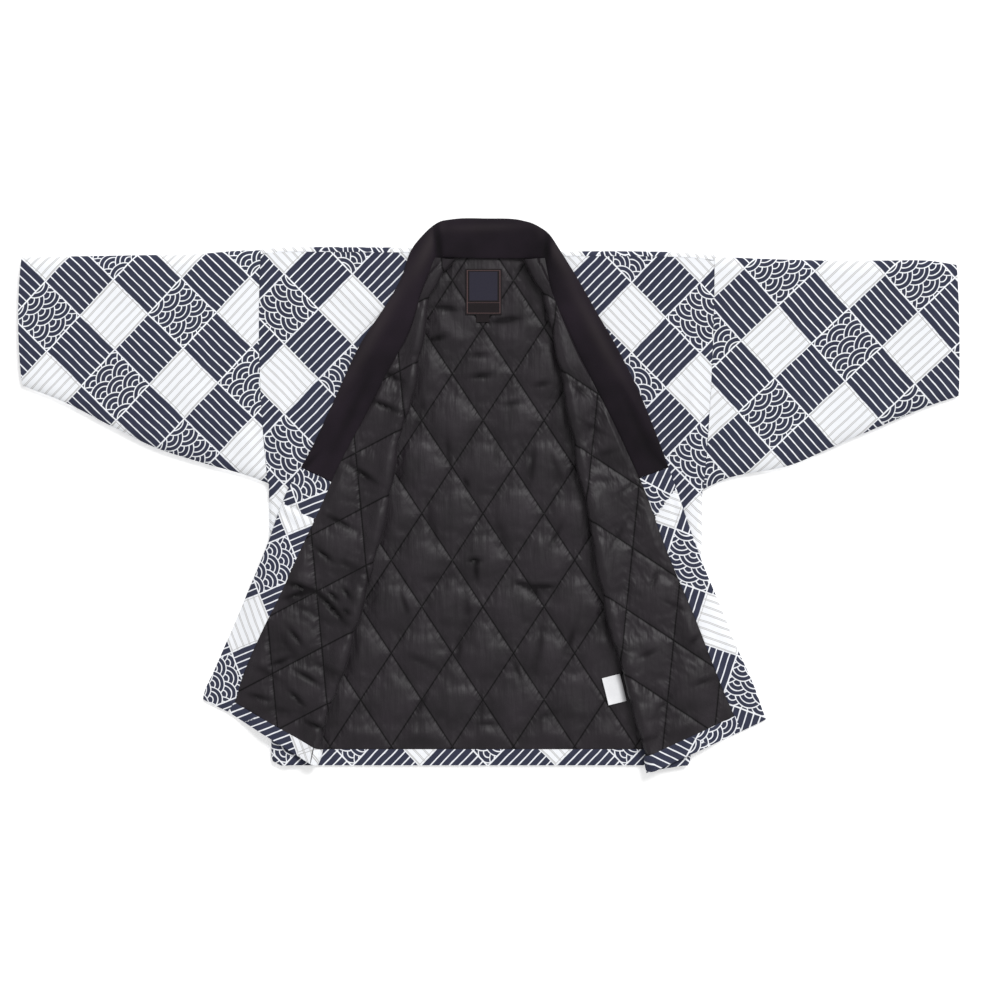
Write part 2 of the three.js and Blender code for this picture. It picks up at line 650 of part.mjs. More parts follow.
const hanten = new THREE.Group();
hanten.add(
  cloth("back_shell", backShell(), colours.print, 0.85),
  cloth("back_lining", backLining(), colours.lining, 0.45),
  cloth("back_hem_strip", backHemStrip(), colours.print, 0.85),
  cloth("collar_cover", collarCover(), colours.collar, 0.95),
  cloth("neck_label", labelOn(neckLabel), colours.label, 0.6),
  cloth("size_tab", labelOn(sizeTab), colours.collar, 0.6),
  cloth("care_label", labelOn(careLabel), colours.tape, 0.4),
);
for (const [name, side] of Object.entries(sides)) {
  hanten.add(
    cloth(`front_shell_${name}`, frontShell(side), colours.print, 0.85),
    cloth(`front_lining_${name}`, frontLining(side), colours.lining, 0.45),
    cloth(`front_hem_strip_${name}`, frontHemStrip(side), colours.print, 0.85),
    cloth(`collar_band_${name}`, collarBand(side), colours.print, 0.85),
    cloth(`sleeve_${name}`, sleeve(side), colours.print, 0.85),
  );
}

export default hanten;
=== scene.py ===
import math
import bpy
import numpy as np
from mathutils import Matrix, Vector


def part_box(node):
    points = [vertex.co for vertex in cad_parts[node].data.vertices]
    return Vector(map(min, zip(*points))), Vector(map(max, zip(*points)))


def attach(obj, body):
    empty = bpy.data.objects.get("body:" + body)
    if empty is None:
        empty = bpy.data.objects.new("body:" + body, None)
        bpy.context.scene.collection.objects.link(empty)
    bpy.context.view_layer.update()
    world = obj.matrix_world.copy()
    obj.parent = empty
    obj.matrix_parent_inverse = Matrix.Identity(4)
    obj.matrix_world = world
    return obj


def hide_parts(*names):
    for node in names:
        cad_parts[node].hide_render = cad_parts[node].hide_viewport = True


# A padded hanten laid flat on its back, both fronts turned open over a quilted black lining.
# Left and right are as seen from above. Sizes are millimetres until a mesh is built.
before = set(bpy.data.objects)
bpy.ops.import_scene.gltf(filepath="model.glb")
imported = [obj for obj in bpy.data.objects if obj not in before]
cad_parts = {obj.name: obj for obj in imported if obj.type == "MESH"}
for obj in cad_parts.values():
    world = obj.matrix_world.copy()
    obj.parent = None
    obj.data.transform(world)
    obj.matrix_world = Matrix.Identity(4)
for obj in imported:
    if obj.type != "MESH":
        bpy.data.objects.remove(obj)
bpy.ops.object.select_all(action="DESELECT")
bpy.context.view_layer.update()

# Cloth thicknesses and the levels of its layers, as the solids have them
cloth = {
    "gap": 0.3,
    "shell": 1.2,
    "stitched": 2.0,
    "puff": 4.6,
    "pressed": 4.5,
    "sleeve": 3.0,
    "band": 5.4,
    "cover": 6.6,
    "facing": 1.6,
    "edgeRound": 6.0,
    "rollRadius": 5.5,
    "rollLeast": 1.4,  # where flap and roll meet at the neck
    "rollGrowth": 0.09,
    "rollFade": 16.0,
    "hemY": -389.0,
    "hemDepth": 23.0,
    "neckY": 341.7,
}
halfGap = cloth["gap"] / 2
backLevel = cloth["shell"] + halfGap
frontLevel = backLevel + halfGap + 2 * cloth["pressed"] + 2 * cloth["gap"]
flapLevel = frontLevel + 2 * halfGap + 2 * cloth["shell"] + cloth["gap"]
backLiningTop = cloth["shell"] + cloth["gap"] + cloth["stitched"]

# fronts, from the neck to the hem: roll x and y, band seam x and y, band edge x and y, x outwards
# shoulder: x and y; flank: y and x; sleeve: share of its length, top y, bottom y, height
# corner: how far the body's lower corner is rounded
# folds: middle x and y, length, angle, width, height
sides = {
    "left": {
        "sign": -1,
        "fronts": [
            (47, 338, 78, 341, 84, 384), (70, 308, 87, 315, 111, 353), (86, 272, 100, 281, 124, 314),
            (96, 209, 114, 237, 147, 273), (107, 142, 145, 180, 186, 213), (129, 68, 182, 108, 225, 128),
            (142, -10, 218, 39, 258, 59), (155, -65, 242, -16, 290, 4), (176, -151, 277, -91, 319, -75),
            (192, -202, 300, -143, 342, -130), (209, -259, 326, -195, 366, -186),
            (231, -324, 353, -256, 394, -251), (240, -364, 366, -297, 407, -278),
            (245, -388, 375, -312, 411, -294),
        ],
        "coverEnd": 20,
        "corner": 13,
        "flapCreases": [
            (262, -166, 60, 30, 4.0, -1.6), (196, -104, 44, 26, 4.0, -1.4), (290, -214, 40, 58, 4.0, -1.5),
            (232, -250, 54, 30, 4.0, -1.5), (318, -256, 46, 28, 3.6, -1.6), (298, -310, 50, 8, 3.6, -1.4),
            (270, -132, 36, 20, 2.6, -4.1), (272, -143, 34, -14, 2.6, -3.4), (226, -161, 52, 47, 2.8, -4.8),
            (223, -145, 20, 40, 2.6, -3.4), (203, -141, 20, 50, 2.6, -3.1), (203, -168, 14, 36, 2.6, -2.7),
            (260, -262, 40, 30, 2.8, -3.4), (277, -203, 28, 52, 2.8, -3.1), (275, -292, 32, 46, 2.8, -3.1),
            (150, 128, 40, 24, 2.8, -3.4), (138, 170, 30, 30, 2.6, -3.1), (180, 30, 44, 34, 2.8, -3.4),
            (212, -40, 40, 28, 2.8, -3.4), (236, -86, 30, 40, 2.6, -3.1), (300, -240, 30, -20, 2.6, -2.7),
            (330, -290, 30, 16, 2.6, -2.7), (250, -330, 34, 20, 2.6, -3.1),
        ],
        "bodyFolds": [
            (285, 40, 90, 72, 9, 3.0), (262, 20, 120, 60, 7, 2.4), (296, 6, 70, 84, 6, 2.6),
            (240, 200, 200, 66, 16, 1.8), (200, 290, 150, 30, 14, 1.4), (292, 300, 120, 80, 12, 1.6),
            (300, 120, 120, 88, 9, 1.8), (300, -180, 160, 80, 14, 2.0),
        ],
        "shoulder": [(78, 354), (200, 355), (300, 355), (327, 352)],
        "armhole": {"top": (327, 352), "bottom": (317, 17), "bow": 7},
        "flank": [(17, 316), (-60, 315), (-389, 312)],
        "cuff": {"top": 671, "bottom": 670, "bow": 5},
        "sleeve": [
            (0, 352, 17, 12.4), (0.1, 351, 30, 14.5), (0.25, 347, 45, 16), (0.45, 345, 68, 16.5),
            (0.62, 344, 97, 16), (0.81, 343, 131, 15), (1, 342, 157, 12.5),
        ],
        "quilt": {"x": 239, "y": -219, "across": (71, -37.5), "down": (-7.5, -80.5)},
        "folds": [
            (352, 84, 90, 60, 20, 2.2), (404, 118, 130, 46, 24, 2.4), (470, 214, 170, 34, 30, 1.8),
            (612, 182, 120, 76, 22, -1.8), (560, 276, 180, 14, 30, -1.4),
        ],
    },
    "right": {
        "sign": 1,
        "fronts": [
            (51, 338, 81, 340, 86, 378), (66, 308, 86, 314, 107, 345), (80, 278, 94, 284, 128, 311),
            (91, 227, 112, 243, 155, 263), (102, 179, 132, 200, 179, 222), (116, 106, 164, 140, 212, 158),
            (127, 42, 194, 78, 238, 95), (142, -32, 226, 6, 266, 20), (157, -112, 251, -64, 292, -55),
            (169, -173, 274, -121, 314, -114), (185, -233, 298, -177, 338, -169),
            (200, -285, 319, -231, 359, -222), (214, -334, 339, -281, 381, -271),
            (224, -375, 355, -318, 393, -305), (230, -398, 364, -340, 400, -323),
        ],
        "coverEnd": 25,
        "corner": 3,
        "flapCreases": [
            (228, -229, 24, 24, 2.6, -2.0), (296, -208, 24, 46, 2.6, -2.0), (308, -269, 30, 20, 2.8, -2.0),
            (238, -121, 26, 66, 2.6, -1.9), (150, 96, 40, -30, 2.8, -1.7), (132, 150, 34, -42, 2.6, -1.9),
            (200, 10, 40, 34, 2.8, -1.7), (186, -60, 44, 60, 2.8, -1.5), (268, -160, 34, -24, 2.6, -1.7),
            (252, -300, 36, 52, 2.8, -1.7), (320, -232, 24, -30, 2.6, -1.5), (228, -350, 30, 12, 2.6, -1.7),
            (170, 60, 26, 14, 2.6, -1.5),
        ],
        "bodyFolds": [
            (284, 30, 80, 70, 8, 3.0), (256, 52, 110, 55, 8, 2.2), (292, -8, 80, 86, 6, 2.4),
            (226, 210, 190, 60, 15, 1.8), (170, 300, 130, 24, 12, 1.4), (286, 290, 130, 76, 13, 1.6),
            (294, 130, 140, 84, 9, 2.0), (290, -150, 170, 84, 13, 2.0),
        ],
        "shoulder": [(78, 349), (210, 349), (290, 347), (325, 343)],
        "armhole": {"top": (325, 343), "bottom": (309, 8), "bow": 4},
        "flank": [(8, 308), (-72, 307), (-389, 290)],
        "cuff": {"top": 673, "bottom": 676, "bow": 2},
        "sleeve": [
            (0, 343, 8, 12.4), (0.1, 341, 25, 14.5), (0.33, 338, 42, 16), (0.5, 337, 69, 16.5),
            (0.69, 337, 99, 16), (0.875, 337, 127, 15), (1, 331, 142, 12.5),
        ],
        "quilt": {"x": 266, "y": -209, "across": (68, -45), "down": (-9, -88)},
        "folds": [
            (350, 92, 100, 56, 22, 2.4), (404, 150, 130, 42, 24, 2), (488, 160, 130, 60, 22, -2),
            (560, 256, 190, 12, 30, 1.6), (640, 206, 120, 74, 24, 1.6),
        ],
    },
}


def smooth(start, end, at):
    t = np.clip((at - start) / (end - start), 0, 1)
    return t * t * (3 - 2 * t)


def mix(a, b, share):
    return a + (b - a) * share


def length(vectors):
    return np.linalg.norm(vectors, axis=-1)


def unit(vectors):
    return vectors / length(vectors)[..., None]


def xyOf(vectors):
    return vectors[..., 0], vectors[..., 1]


# Share t of the way from p to q on a curve that leaves with slope m and arrives with slope n
def curved(p, q, m, n, t):
    return (((2 * (p - q) + m + n) * t - 3 * (p - q) - 2 * m - n) * t + m) * t + p


# Values between the rows of a table, on a smooth curve through them
def between(rows, key, value, at):
    table = np.array(sorted(rows, key=lambda row: row[key]), float)
    keys, values = table[:, key], table[:, value]
    last = len(keys) - 1
    i = np.clip(np.searchsorted(keys, at, side="right") - 1, 0, last - 1)
    step = keys[i + 1] - keys[i]
    t = np.clip((at - keys[i]) / step, 0, 1)
    low, high = np.maximum(np.arange(last + 1) - 1, 0), np.minimum(np.arange(last + 1) + 1, last)
    slopes = (values[high] - values[low]) / (keys[high] - keys[low])
    return curved(values[i], values[i + 1], slopes[i] * step, slopes[i + 1] * step, t)


# A point of a plan curve of a front, by row number
def planCurve(side, column, row):
    points = np.array([r[column:column + 2] for r in side["fronts"]], float)
    ends = np.vstack([2 * points[0] - points[1], points, 2 * points[-1] - points[-2]])
    i = np.clip(np.floor(row).astype(int), 0, len(points) - 2)
    t = (row - i)[..., None]
    before, first, second, after = (ends[i + k] for k in range(4))
    return curved(first, second, (second - before) / 2, (after - first) / 2, t)


def rollAt(side, row):
    return planCurve(side, 0, row)


def seamAt(side, row):
    return planCurve(side, 2, row)


def bandEdgeAt(side, row):
    return planCurve(side, 4, row)


# Row number at which a plan curve reaches a given y
def rowAt(side, curve, y):
    rows = np.linspace(0, len(side["fronts"]) - 1, 1500)
    return np.interp(-np.asarray(y, float), -curve(side, rows)[:, 1], rows)


def armholeX(side, y):
    (topX, topY), (bottomX, bottomY) = side["armhole"]["top"], side["armhole"]["bottom"]
    k = np.clip((topY - y) / (topY - bottomY), 0, 1)
    return mix(topX, bottomX, k) + 4 * side["armhole"]["bow"] * k * (1 - k)


def flankX(side, y):
    return between(side["flank"], 0, 1, y)


def shoulderY(side, x):
    return between(side["shoulder"], 0, 1, x)


def turnX(side, y):
    into = np.clip(1 - (y - cloth["hemY"]) / side["corner"], 0, 1)
    rounded = side["corner"] * (1 - np.sqrt(1 - into**2))
    return flankX(side, y) - cloth["shell"] - halfGap - cloth["edgeRound"] - rounded


# Where the fold down the side starts and is full, measured from the armhole's bottom
sideFold = {"back": (40, 8), "front": (1, -11)}


def backEdge(side, y):
    start, full = sideFold["back"]
    bottomY = side["armhole"]["bottom"][1]
    folded = smooth(bottomY + start, bottomY + full, y)
    return mix(armholeX(side, y) - cloth["gap"], turnX(side, y) - 2 * cloth["gap"], folded)


droop = {"start": 4, "end": 56}


# Height of the flap's middle surface: on the front, then down to the table past the side seam
def flapHeight(side, x, y):
    past = x - flankX(side, np.minimum(y, side["armhole"]["bottom"][1]))
    return mix(flapLevel, backLevel, smooth(droop["start"], droop["end"], past))


frontShape = {"step": 0.2, "level": 1.2, "shoulderX": (75, 110)}


# The middle surface of a front by row and column, the way to its lining, its place on the flat cut,
# and its place in the plane of the flap. Columns 0 to 1 are the fold at the side, 1 to 2 the panel
# that lies on the back, 2 to 3 the roll and 3 to 4 the flap.
def frontSurface(side, row, column):
    row, column = np.broadcast_arrays(np.asarray(row, float), np.asarray(column, float))
    last = len(side["fronts"]) - 1
    roll, seam = rollAt(side, row), seamAt(side, row)
    after, before = np.minimum(row + frontShape["step"], last), np.maximum(row - frontShape["step"], 0)
    tangent = rollAt(side, after) - rollAt(side, before)
    inward = unit(np.stack([tangent[..., 1], -tangent[..., 0]], -1))
    level = smooth(frontShape["level"], 0, row)[..., None]
    inward = unit(mix(inward, np.array([-1.0, 0.0]), level))
    radius = np.minimum(cloth["rollRadius"], cloth["rollLeast"] + cloth["rollGrowth"] * length(roll - seam))
    centre = roll - inward * (radius + halfGap + cloth["pressed"])[..., None]
    armholeTop, armholeBottom = side["armhole"]["top"][1], side["armhole"]["bottom"][1]
    top = armholeTop - cloth["edgeRound"] - cloth["gap"]
    rollY, endY = roll[..., 1], side["fronts"][-1][1]
    sideY = np.where(rollY > 0, mix(top, rollY, smooth(0, 1, row)), rollY * cloth["hemY"] / endY)
    folded = smooth(armholeBottom + sideFold["front"][0], armholeBottom + sideFold["front"][1], sideY)
    openX = armholeX(side, sideY) - cloth["gap"]
    innerX = mix(openX - cloth["edgeRound"], turnX(side, sideY), folded)
    point, toLining, flat, flap = (np.zeros(row.shape + (size,)) for size in (3, 3, 2, 2))
    zero = np.zeros(row.shape)

    def put(where, *values):
        for target, value in zip((point, toLining, flat, flap), values):
            target[where] = np.stack(np.broadcast_arrays(*value), -1)[where]

    angle = (column - 0.5) * np.pi
    half = (frontLevel - backLevel) / 2
    x = mix(mix(openX, innerX, column), innerX + cloth["edgeRound"] * np.cos(angle), folded)
    z = mix(frontLevel, backLevel + half + half * np.sin(angle), folded)
    cutX = mix(x, innerX + half * (np.pi / 2 - angle), folded)
    direction = (-np.cos(angle) * folded, zero, mix(-1, -np.sin(angle), folded))
    put(column <= 1, (x, sideY, z), direction, (cutX, sideY), (x, sideY))

    x = mix(innerX, centre[..., 0], column - 1)
    y = mix(sideY, centre[..., 1], column - 1)
    lift = (shoulderY(side, x) - cloth["edgeRound"] - cloth["gap"] - y) * smooth(*frontShape["shoulderX"], x)
    y = y + lift * np.maximum(0, 1 - row) ** 2
    put((column > 1) & (column <= 2), (x, y, zero + frontLevel), (zero, zero, zero - 1), (x, y), (x, y))

    angle = (column - 2.5) * np.pi
    out, up = np.cos(angle), np.sin(angle)
    place = centre + inward * (out * radius)[..., None]
    cut = centre + inward * (radius * (column - 2) * np.pi)[..., None]
    plane = centre + inward * (radius * (3 - column) * np.pi)[..., None]
    place, direction = (*xyOf(place), frontLevel + radius * (1 + up)), (*xyOf(inward * out[..., None]), up)
    put((column > 2) & (column <= 3), place, direction, xyOf(cut), xyOf(plane))

    place = mix(centre, seam, (column - 3)[..., None])
    far = length(place - centre)
    rise = frontLevel + 2 * radius - flapLevel
    z = flapHeight(side, *xyOf(place)) + rise * np.exp(-((far / cloth["rollFade"]) ** 2))
    cut = centre + inward * (radius * np.pi + far)[..., None]
    put(column > 3, (*xyOf(place), z), (zero, zero, zero + 1), xyOf(cut), xyOf(place))
    return point, unit(toLining), flat, flap


def mirrored(side, vectors):
    out = vectors.copy()
    out[..., 0] *= side["sign"]
    return out


# The print's squares, 70 mm on a side and turned 45 degrees. The cut's coordinates count squares along
# the navy stripes and across them. For each cut: the x and y of a point, its place in squares, how far
# the print is turned, and its size along the stripes and across them.
falling, rising = np.array([48.96, -50.4]), np.array([48.96, 50.4])
squares = {
    "sleeve_left": (-537.3, 258.6, 0.5, 0.5, 1.2, 1, 1),
    "sleeve_right": (413.5, 219.7, 2.5, 0.5, -2.6, 1.03, 1.03),
    "body_left": (-195.3, 267.0, 0.5, 0.5, 0, 1, 1),
    "body_right": (205.6, 255.0, 0.5, 0.5, 0, 1, 1),
    "band_left": (-369.2, -226.2, 0, 0, -23.4, 0.96, 0.89),
    "band_right": (356.8, -230.3, 2, 0, 26.0, 1, 1),
    "bandTop_left": (-274.9, -11.5, 1, 1, -25.0, 1, 1),
    "bandTop_right": (247.7, 7.2, 4, 1.35, 17.6, 1, 1),
    "strip_left": (-274.2, -371.7, 0, 0, -23.8, 1, 1),
    "strip_right": (298.2, -349.7, 1, 1, -72.8, 1, 1),
}


def cosSin(degrees):
    return math.cos(math.radians(degrees)), math.sin(math.radians(degrees))


def turned(vector, degrees):
    c, s = cosSin(degrees)
    return np.array([c * vector[0] - s * vector[1], s * vector[0] + c * vector[1]])


def squareCoords(cut, piece):
    x, y, placeU, placeV, turn, wide, tall = squares[piece]
    along, across = (falling, rising) if piece.startswith("sleeve") else (rising, -falling)
    cell = np.stack([turned(along, turn) * wide, turned(across, turn) * tall], -1)
    return (cut - np.array((x, y))) @ np.linalg.inv(cell).T + (placeU, placeV)


# Materials
def paint(red, green, blue):
    channels = [c / 255 for c in (red, green, blue)]
    linear = [c / 12.92 if c <= 0.04045 else ((c + 0.055) / 1.055) ** 2.4 for c in channels]
    return (*linear, 1.0)


# The values are the roughness, the gloss, the sheen and the sheen's roughness
def newMaterial(name, *values):
    material = bpy.data.materials.new(name)
    material.use_nodes = True
    shader = material.node_tree.nodes["Principled BSDF"]
    for key, value in zip(("Roughness", "Specular IOR Level", "Sheen Weight", "Sheen Roughness"), values):
        shader.inputs[key].default_value = value
    return material, material.node_tree, shader


def isSocket(value):
    return isinstance(value, bpy.types.NodeSocket)


def feed(socket, value):
    if isSocket(value):
        socket.id_data.links.new(value, socket)
    else:
        socket.default_value = value


def addNode(tree, kind, inputs=None, **settings):
    node = tree.nodes.new(kind)
    for name, value in settings.items():
        setattr(node, name, value)
    for name, value in (inputs or {}).items():
        feed(node.inputs[name], value)
    return node


# Sums of node sockets and numbers
def calc(operation, *values):
    tree = next(value.id_data for value in values if isSocket(value))
    node = addNode(tree, "ShaderNodeMath", operation=operation)
    for socket, value in zip(node.inputs, values):
        feed(socket, value)
    return node.outputs[0]


def plus(first, second):
    return calc("ADD", first, second)


def minus(first, second):
    return calc("SUBTRACT", first, second)


def times(first, second):
    return calc("MULTIPLY", first, second)


def larger(first, second):
    return calc("MAXIMUM", first, second)


def clamped(value, low=0.0, high=1.0):
    return calc("MINIMUM", larger(value, low), high)


# 1 within a line's half width of its middle, 0 outside, over a soft edge
def lineMask(distance, half, soft):
    return clamped(calc("MULTIPLY_ADD", minus(half, distance), 1 / soft, 0.5))


# Distance of a value from the nearest whole number
def fromWhole(value):
    return calc("ABSOLUTE", minus(calc("FRACT", plus(value, 0.5)), 0.5))


def noise(vector, scale, detail, distortion=0.0):
    inputs = {"Vector": vector, "Scale": scale, "Detail": detail, "Distortion": distortion}
    return addNode(vector.id_data, "ShaderNodeTexNoise", inputs).outputs["Fac"]


def stretched(vector, operation, factor):
    node = addNode(vector.id_data, "ShaderNodeVectorMath", {0: vector}, operation=operation)
    feed(node.inputs["Scale" if operation == "SCALE" else 1], factor)
    return node.outputs[0]


def separated(vector):
    outputs = addNode(vector.id_data, "ShaderNodeSeparateXYZ", {"Vector": vector}).outputs
    return outputs["X"], outputs["Y"]


def mixColour(factor, first, second):
    node = addNode(factor.id_data, "ShaderNodeMix", data_type="RGBA")
    sockets = {socket.identifier: socket for socket in node.inputs}
    for name, value in (("Factor_Float", factor), ("A_Color", first), ("B_Color", second)):
        feed(sockets[name], value)
    return next(socket for socket in node.outputs if socket.identifier == "Result_Color")


def bump(height, distance, strength, normal=None):
    inputs = {"Height": height, "Distance": distance, "Strength": strength}
    node = addNode(height.id_data, "ShaderNodeBump", inputs)
    if normal is not None:
        feed(node.inputs["Normal"], normal)
    return node.outputs["Normal"]


printLook = {
    "side": 70.0,
    "navy": paint(31, 35, 57),
    "navyFaded": paint(56, 59, 79),
    "white": paint(248, 250, 254),
    "grey": paint(174, 172, 169),
    "dust": paint(150, 152, 160),
    "waver": 0.04,  # how far the print strays, in squares
    "uneven": 0.3,  # how much the lines' half widths vary, in mm
    "stripes": 7,
    "stripeHalf": 0.88,
    "borderHalf": 1.0,
    "hairApart": 0.85,
    "hairHalf": 0.43,
    "hairDark": 0.92,
    "outlineIn": 2.1,
    "threadApart": 0.45,
    "scaleRadius": 22.0,
    "scaleLift": 12.0,
    "rings": (1.0, 0.66, 0.33),
    "ringHalf": 0.78,
}


# Printed cotton: squares of white lines on navy, of thin grey lines on white, and of seigaiha waves
def makePrint():
    look = printLook
    side, stripeCount = look["side"], float(look["stripes"])
    material, tree, shader = newMaterial("printCotton", 0.86, 0.18, 0.04, 0.5)
    uvMap = addNode(tree, "ShaderNodeUVMap", uv_map="fabric").outputs["UV"]
    strays = addNode(tree, "ShaderNodeTexNoise", {"Vector": uvMap, "Scale": 1.7, "Detail": 2.0})
    inputs = {0: strays.outputs["Color"], 1: (look["waver"], look["waver"], 0), 2: uvMap}
    shift = addNode(tree, "ShaderNodeVectorMath", inputs, operation="MULTIPLY_ADD")
    placeX, placeY = separated(shift.outputs[0])
    u, v = minus(placeX, look["waver"] / 2), minus(placeY, look["waver"] / 2)
    oddU = calc("FLOORED_MODULO", calc("FLOOR", u), 2.0)
    oddV = calc("FLOORED_MODULO", calc("FLOOR", v), 2.0)
    scales = times(oddU, oddV)
    striped = calc("ABSOLUTE", minus(oddU, oddV))
    plain = minus(1.0, plus(scales, striped))
    uneven = calc("MULTIPLY_ADD", noise(uvMap, 9.0, 1.0), 2 * look["uneven"], -look["uneven"])
    fromBorder = calc("MINIMUM", times(fromWhole(u), side), times(fromWhole(v), side))
    border = lineMask(fromBorder, plus(uneven, look["borderHalf"]), 0.5)
    pitch = side / look["stripes"]
    fromStripe = times(fromWhole(times(v, stripeCount)), pitch)
    stripes = times(striped, lineMask(fromStripe, plus(uneven, look["stripeHalf"]), 0.5))
    fromHair = times(fromWhole(times(u, stripeCount)), pitch)
    hair = lineMask(calc("ABSOLUTE", minus(fromHair, look["hairApart"])), look["hairHalf"], 0.7)
    outline = lineMask(calc("ABSOLUTE", minus(fromBorder, look["outlineIn"])), look["hairHalf"], 0.6)
    hair = times(larger(hair, outline), plain)
    rings = times(scales, seigaiha(u, v, uneven))
    light = larger(larger(stripes, rings), larger(border, plain))
    navy = mixColour(noise(uvMap, 3.2, 4.0), look["navy"], look["navyFaded"])
    lit = mixColour(light, navy, look["white"])
    colour = mixColour(times(hair, look["hairDark"]), lit, look["grey"])
    # The weave's threads run along and across the stripes
    warp, weft = separated(stretched(uvMap, "SCALE", side / look["threadApart"]))
    crossed = times(calc("SINE", times(warp, 2 * math.pi)), calc("SINE", times(weft, 2 * math.pi)))
    slub = noise(uvMap, 40.0, 3.0)
    feed(shader.inputs["Base Color"], mixColour(times(slub, 0.06), colour, look["dust"]))
    feed(shader.inputs["Normal"], bump(calc("MULTIPLY_ADD", crossed, 0.3, slub), 0.0002, 0.6))
    return material


# White rings of overlapping waves, in rows half a radius apart, each row over the one above it
def seigaiha(u, v, uneven):
    look = printLook
    radius, side = look["scaleRadius"], look["side"]
    pairs = plus(calc("FLOOR", times(u, 0.5)), calc("FLOOR", times(v, 0.5)))
    flip = times(calc("MULTIPLY_ADD", calc("FLOORED_MODULO", pairs, 2.0), -2.0, 1.0), side)
    up = plus(times(minus(calc("FRACT", u), 0.5), flip), look["scaleLift"])
    out = times(minus(calc("FRACT", v), 0.5), flip)
    rowSpace = radius / 2
    first = calc("CEIL", minus(calc("DIVIDE", up, rowSpace), 2.0))
    found = None
    for step in (2.0, 1.0, 0.0):
        row = plus(first, step)
        shifted = calc("MULTIPLY_ADD", calc("FLOORED_MODULO", row, 2.0), radius, out)
        across = times(fromWhole(calc("DIVIDE", shifted, 2 * radius)), 2 * radius)
        above = minus(up, times(row, rowSpace))
        distance = calc("SQRT", plus(times(across, across), times(above, above)))
        if found is None:
            found = distance
            continue
        inside = calc("LESS_THAN", distance, radius)
        found = plus(times(inside, distance), times(minus(1.0, inside), found))
    half = plus(uneven, look["ringHalf"])
    middles = [share * radius for share in look["rings"]]
    middles[0] -= look["ringHalf"]
    rings = [lineMask(calc("ABSOLUTE", minus(found, middle)), half, 0.5) for middle in middles]
    return larger(larger(rings[0], rings[1]), rings[2])


satinLook = {
    "black": paint(19, 14, 19),
    "bright": paint(36, 30, 36),
    "threadAndShadeBlack": paint(3, 3, 3),
    "threadHalf": 0.62,
    # Painted shade along the stitched lines and in the creases: its half width and fade beside the lines, and
    # how dark it gets
    "grooveHalf": 0.9,
    "grooveFade": 2.4,
    "groovePaintedShade": 0.8,
    "creasePaintedShade": 0.85,
    "creasePaintedShadeMost": 0.62,
    "puckerReach": 11.0,
    "rollIn": 8.0,
    "gloss": 0.34,
    "diamondSide": 80.0,
    "stitch": 3.2,
    "drawnScale": (95.0, 15.0, 30.0),
    "gatherScale": (2.2, 13.0),  # along and across a diamond
    # How far each relief stands out, in metres
    "wrinkled": 0.0011,
    "rolled": 0.0021,
    "drawn": 0.0027,
    "gathered": 0.0026,
}


# Black polyester lining, with the quilting thread sunk in its stitched lines and painted shade along those
# lines and in its creases
def makeSatin():
    look = satinLook
    side = look["diamondSide"]
    material, tree, shader = newMaterial("quiltedSatin", 0.5, look["gloss"], 0.03, 0.5)
    m, n = separated(addNode(tree, "ShaderNodeUVMap", uv_map="quilt").outputs["UV"])
    fromM, fromN = times(fromWhole(m), side), times(fromWhole(n), side)
    nearest = calc("MINIMUM", fromM, fromN)
    dash = calc("GREATER_THAN", calc("FRACT", times(plus(m, n), side / look["stitch"])), 0.25)
    threadMask = times(lineMask(nearest, look["threadHalf"], 0.5), dash)
    # Painted shade: the colour darkens towards the stitched lines and in the marked creases
    grooveShadeMask = lineMask(nearest, look["grooveHalf"], look["grooveFade"])
    coords = addNode(tree, "ShaderNodeTexCoord").outputs["Object"]
    patches = calc("MULTIPLY_ADD", minus(noise(coords, 24.0, 4.0), 0.5), 2.0, 0.5)
    shaded = mixColour(patches, look["black"], look["bright"])
    crease = addNode(tree, "ShaderNodeAttribute", attribute_name="crease").outputs["Fac"]
    creaseShadeMask = clamped(times(crease, look["creasePaintedShade"]), 0.0, look["creasePaintedShadeMost"])
    paintedShade = larger(times(grooveShadeMask, look["groovePaintedShade"]), creaseShadeMask)
    satinWithShade = mixColour(paintedShade, shaded, look["threadAndShadeBlack"])
    # The painted shade also takes the gloss out of the stitched lines and creases
    feed(shader.inputs["Specular IOR Level"], calc("MULTIPLY_ADD", paintedShade, -look["gloss"], look["gloss"]))
    feed(shader.inputs["Base Color"], mixColour(threadMask, satinWithShade, look["threadAndShadeBlack"]))
    wrinkles = plus(times(noise(coords, 85.0, 3.0, 0.7), 0.5), noise(coords, 26.0, 2.0))
    relief = bump(wrinkles, look["wrinkled"], 0.5)
    rolled = minus(1.0, calc("EXPONENT", times(nearest, -1 / look["rollIn"])))
    relief = bump(rolled, look["rolled"], 0.9, relief)
    # Long soft wrinkles down the lining
    drawn = noise(stretched(coords, "MULTIPLY", look["drawnScale"]), 1.0, 2.5)
    relief = bump(drawn, look["drawn"], 0.6, relief)
    # Gathers across each stitched line
    gathers, (wide, narrow) = [], look["gatherScale"]
    for alongX, alongY, away in ((wide, narrow, fromM), (narrow, wide, fromN)):
        inputs = {"X": times(m, alongX), "Y": times(n, alongY)}
        wave = noise(addNode(tree, "ShaderNodeCombineXYZ", inputs).outputs[0], 1.0, 1.5)
        near = lineMask(away, look["puckerReach"] / 2, look["puckerReach"])
        gathers.append(times(near, wave))
    feed(shader.inputs["Normal"], bump(plus(*gathers), look["gathered"], 0.7, relief))
    return material


collarLook = {
    "black": paint(15, 11, 16),
    "bright": paint(38, 30, 39),
    # Painted shade in the creases and painted highlight on the ridges
    "paintedShade": paint(5, 4, 5),
    "ridgeHighlight": paint(62, 56, 58),
}
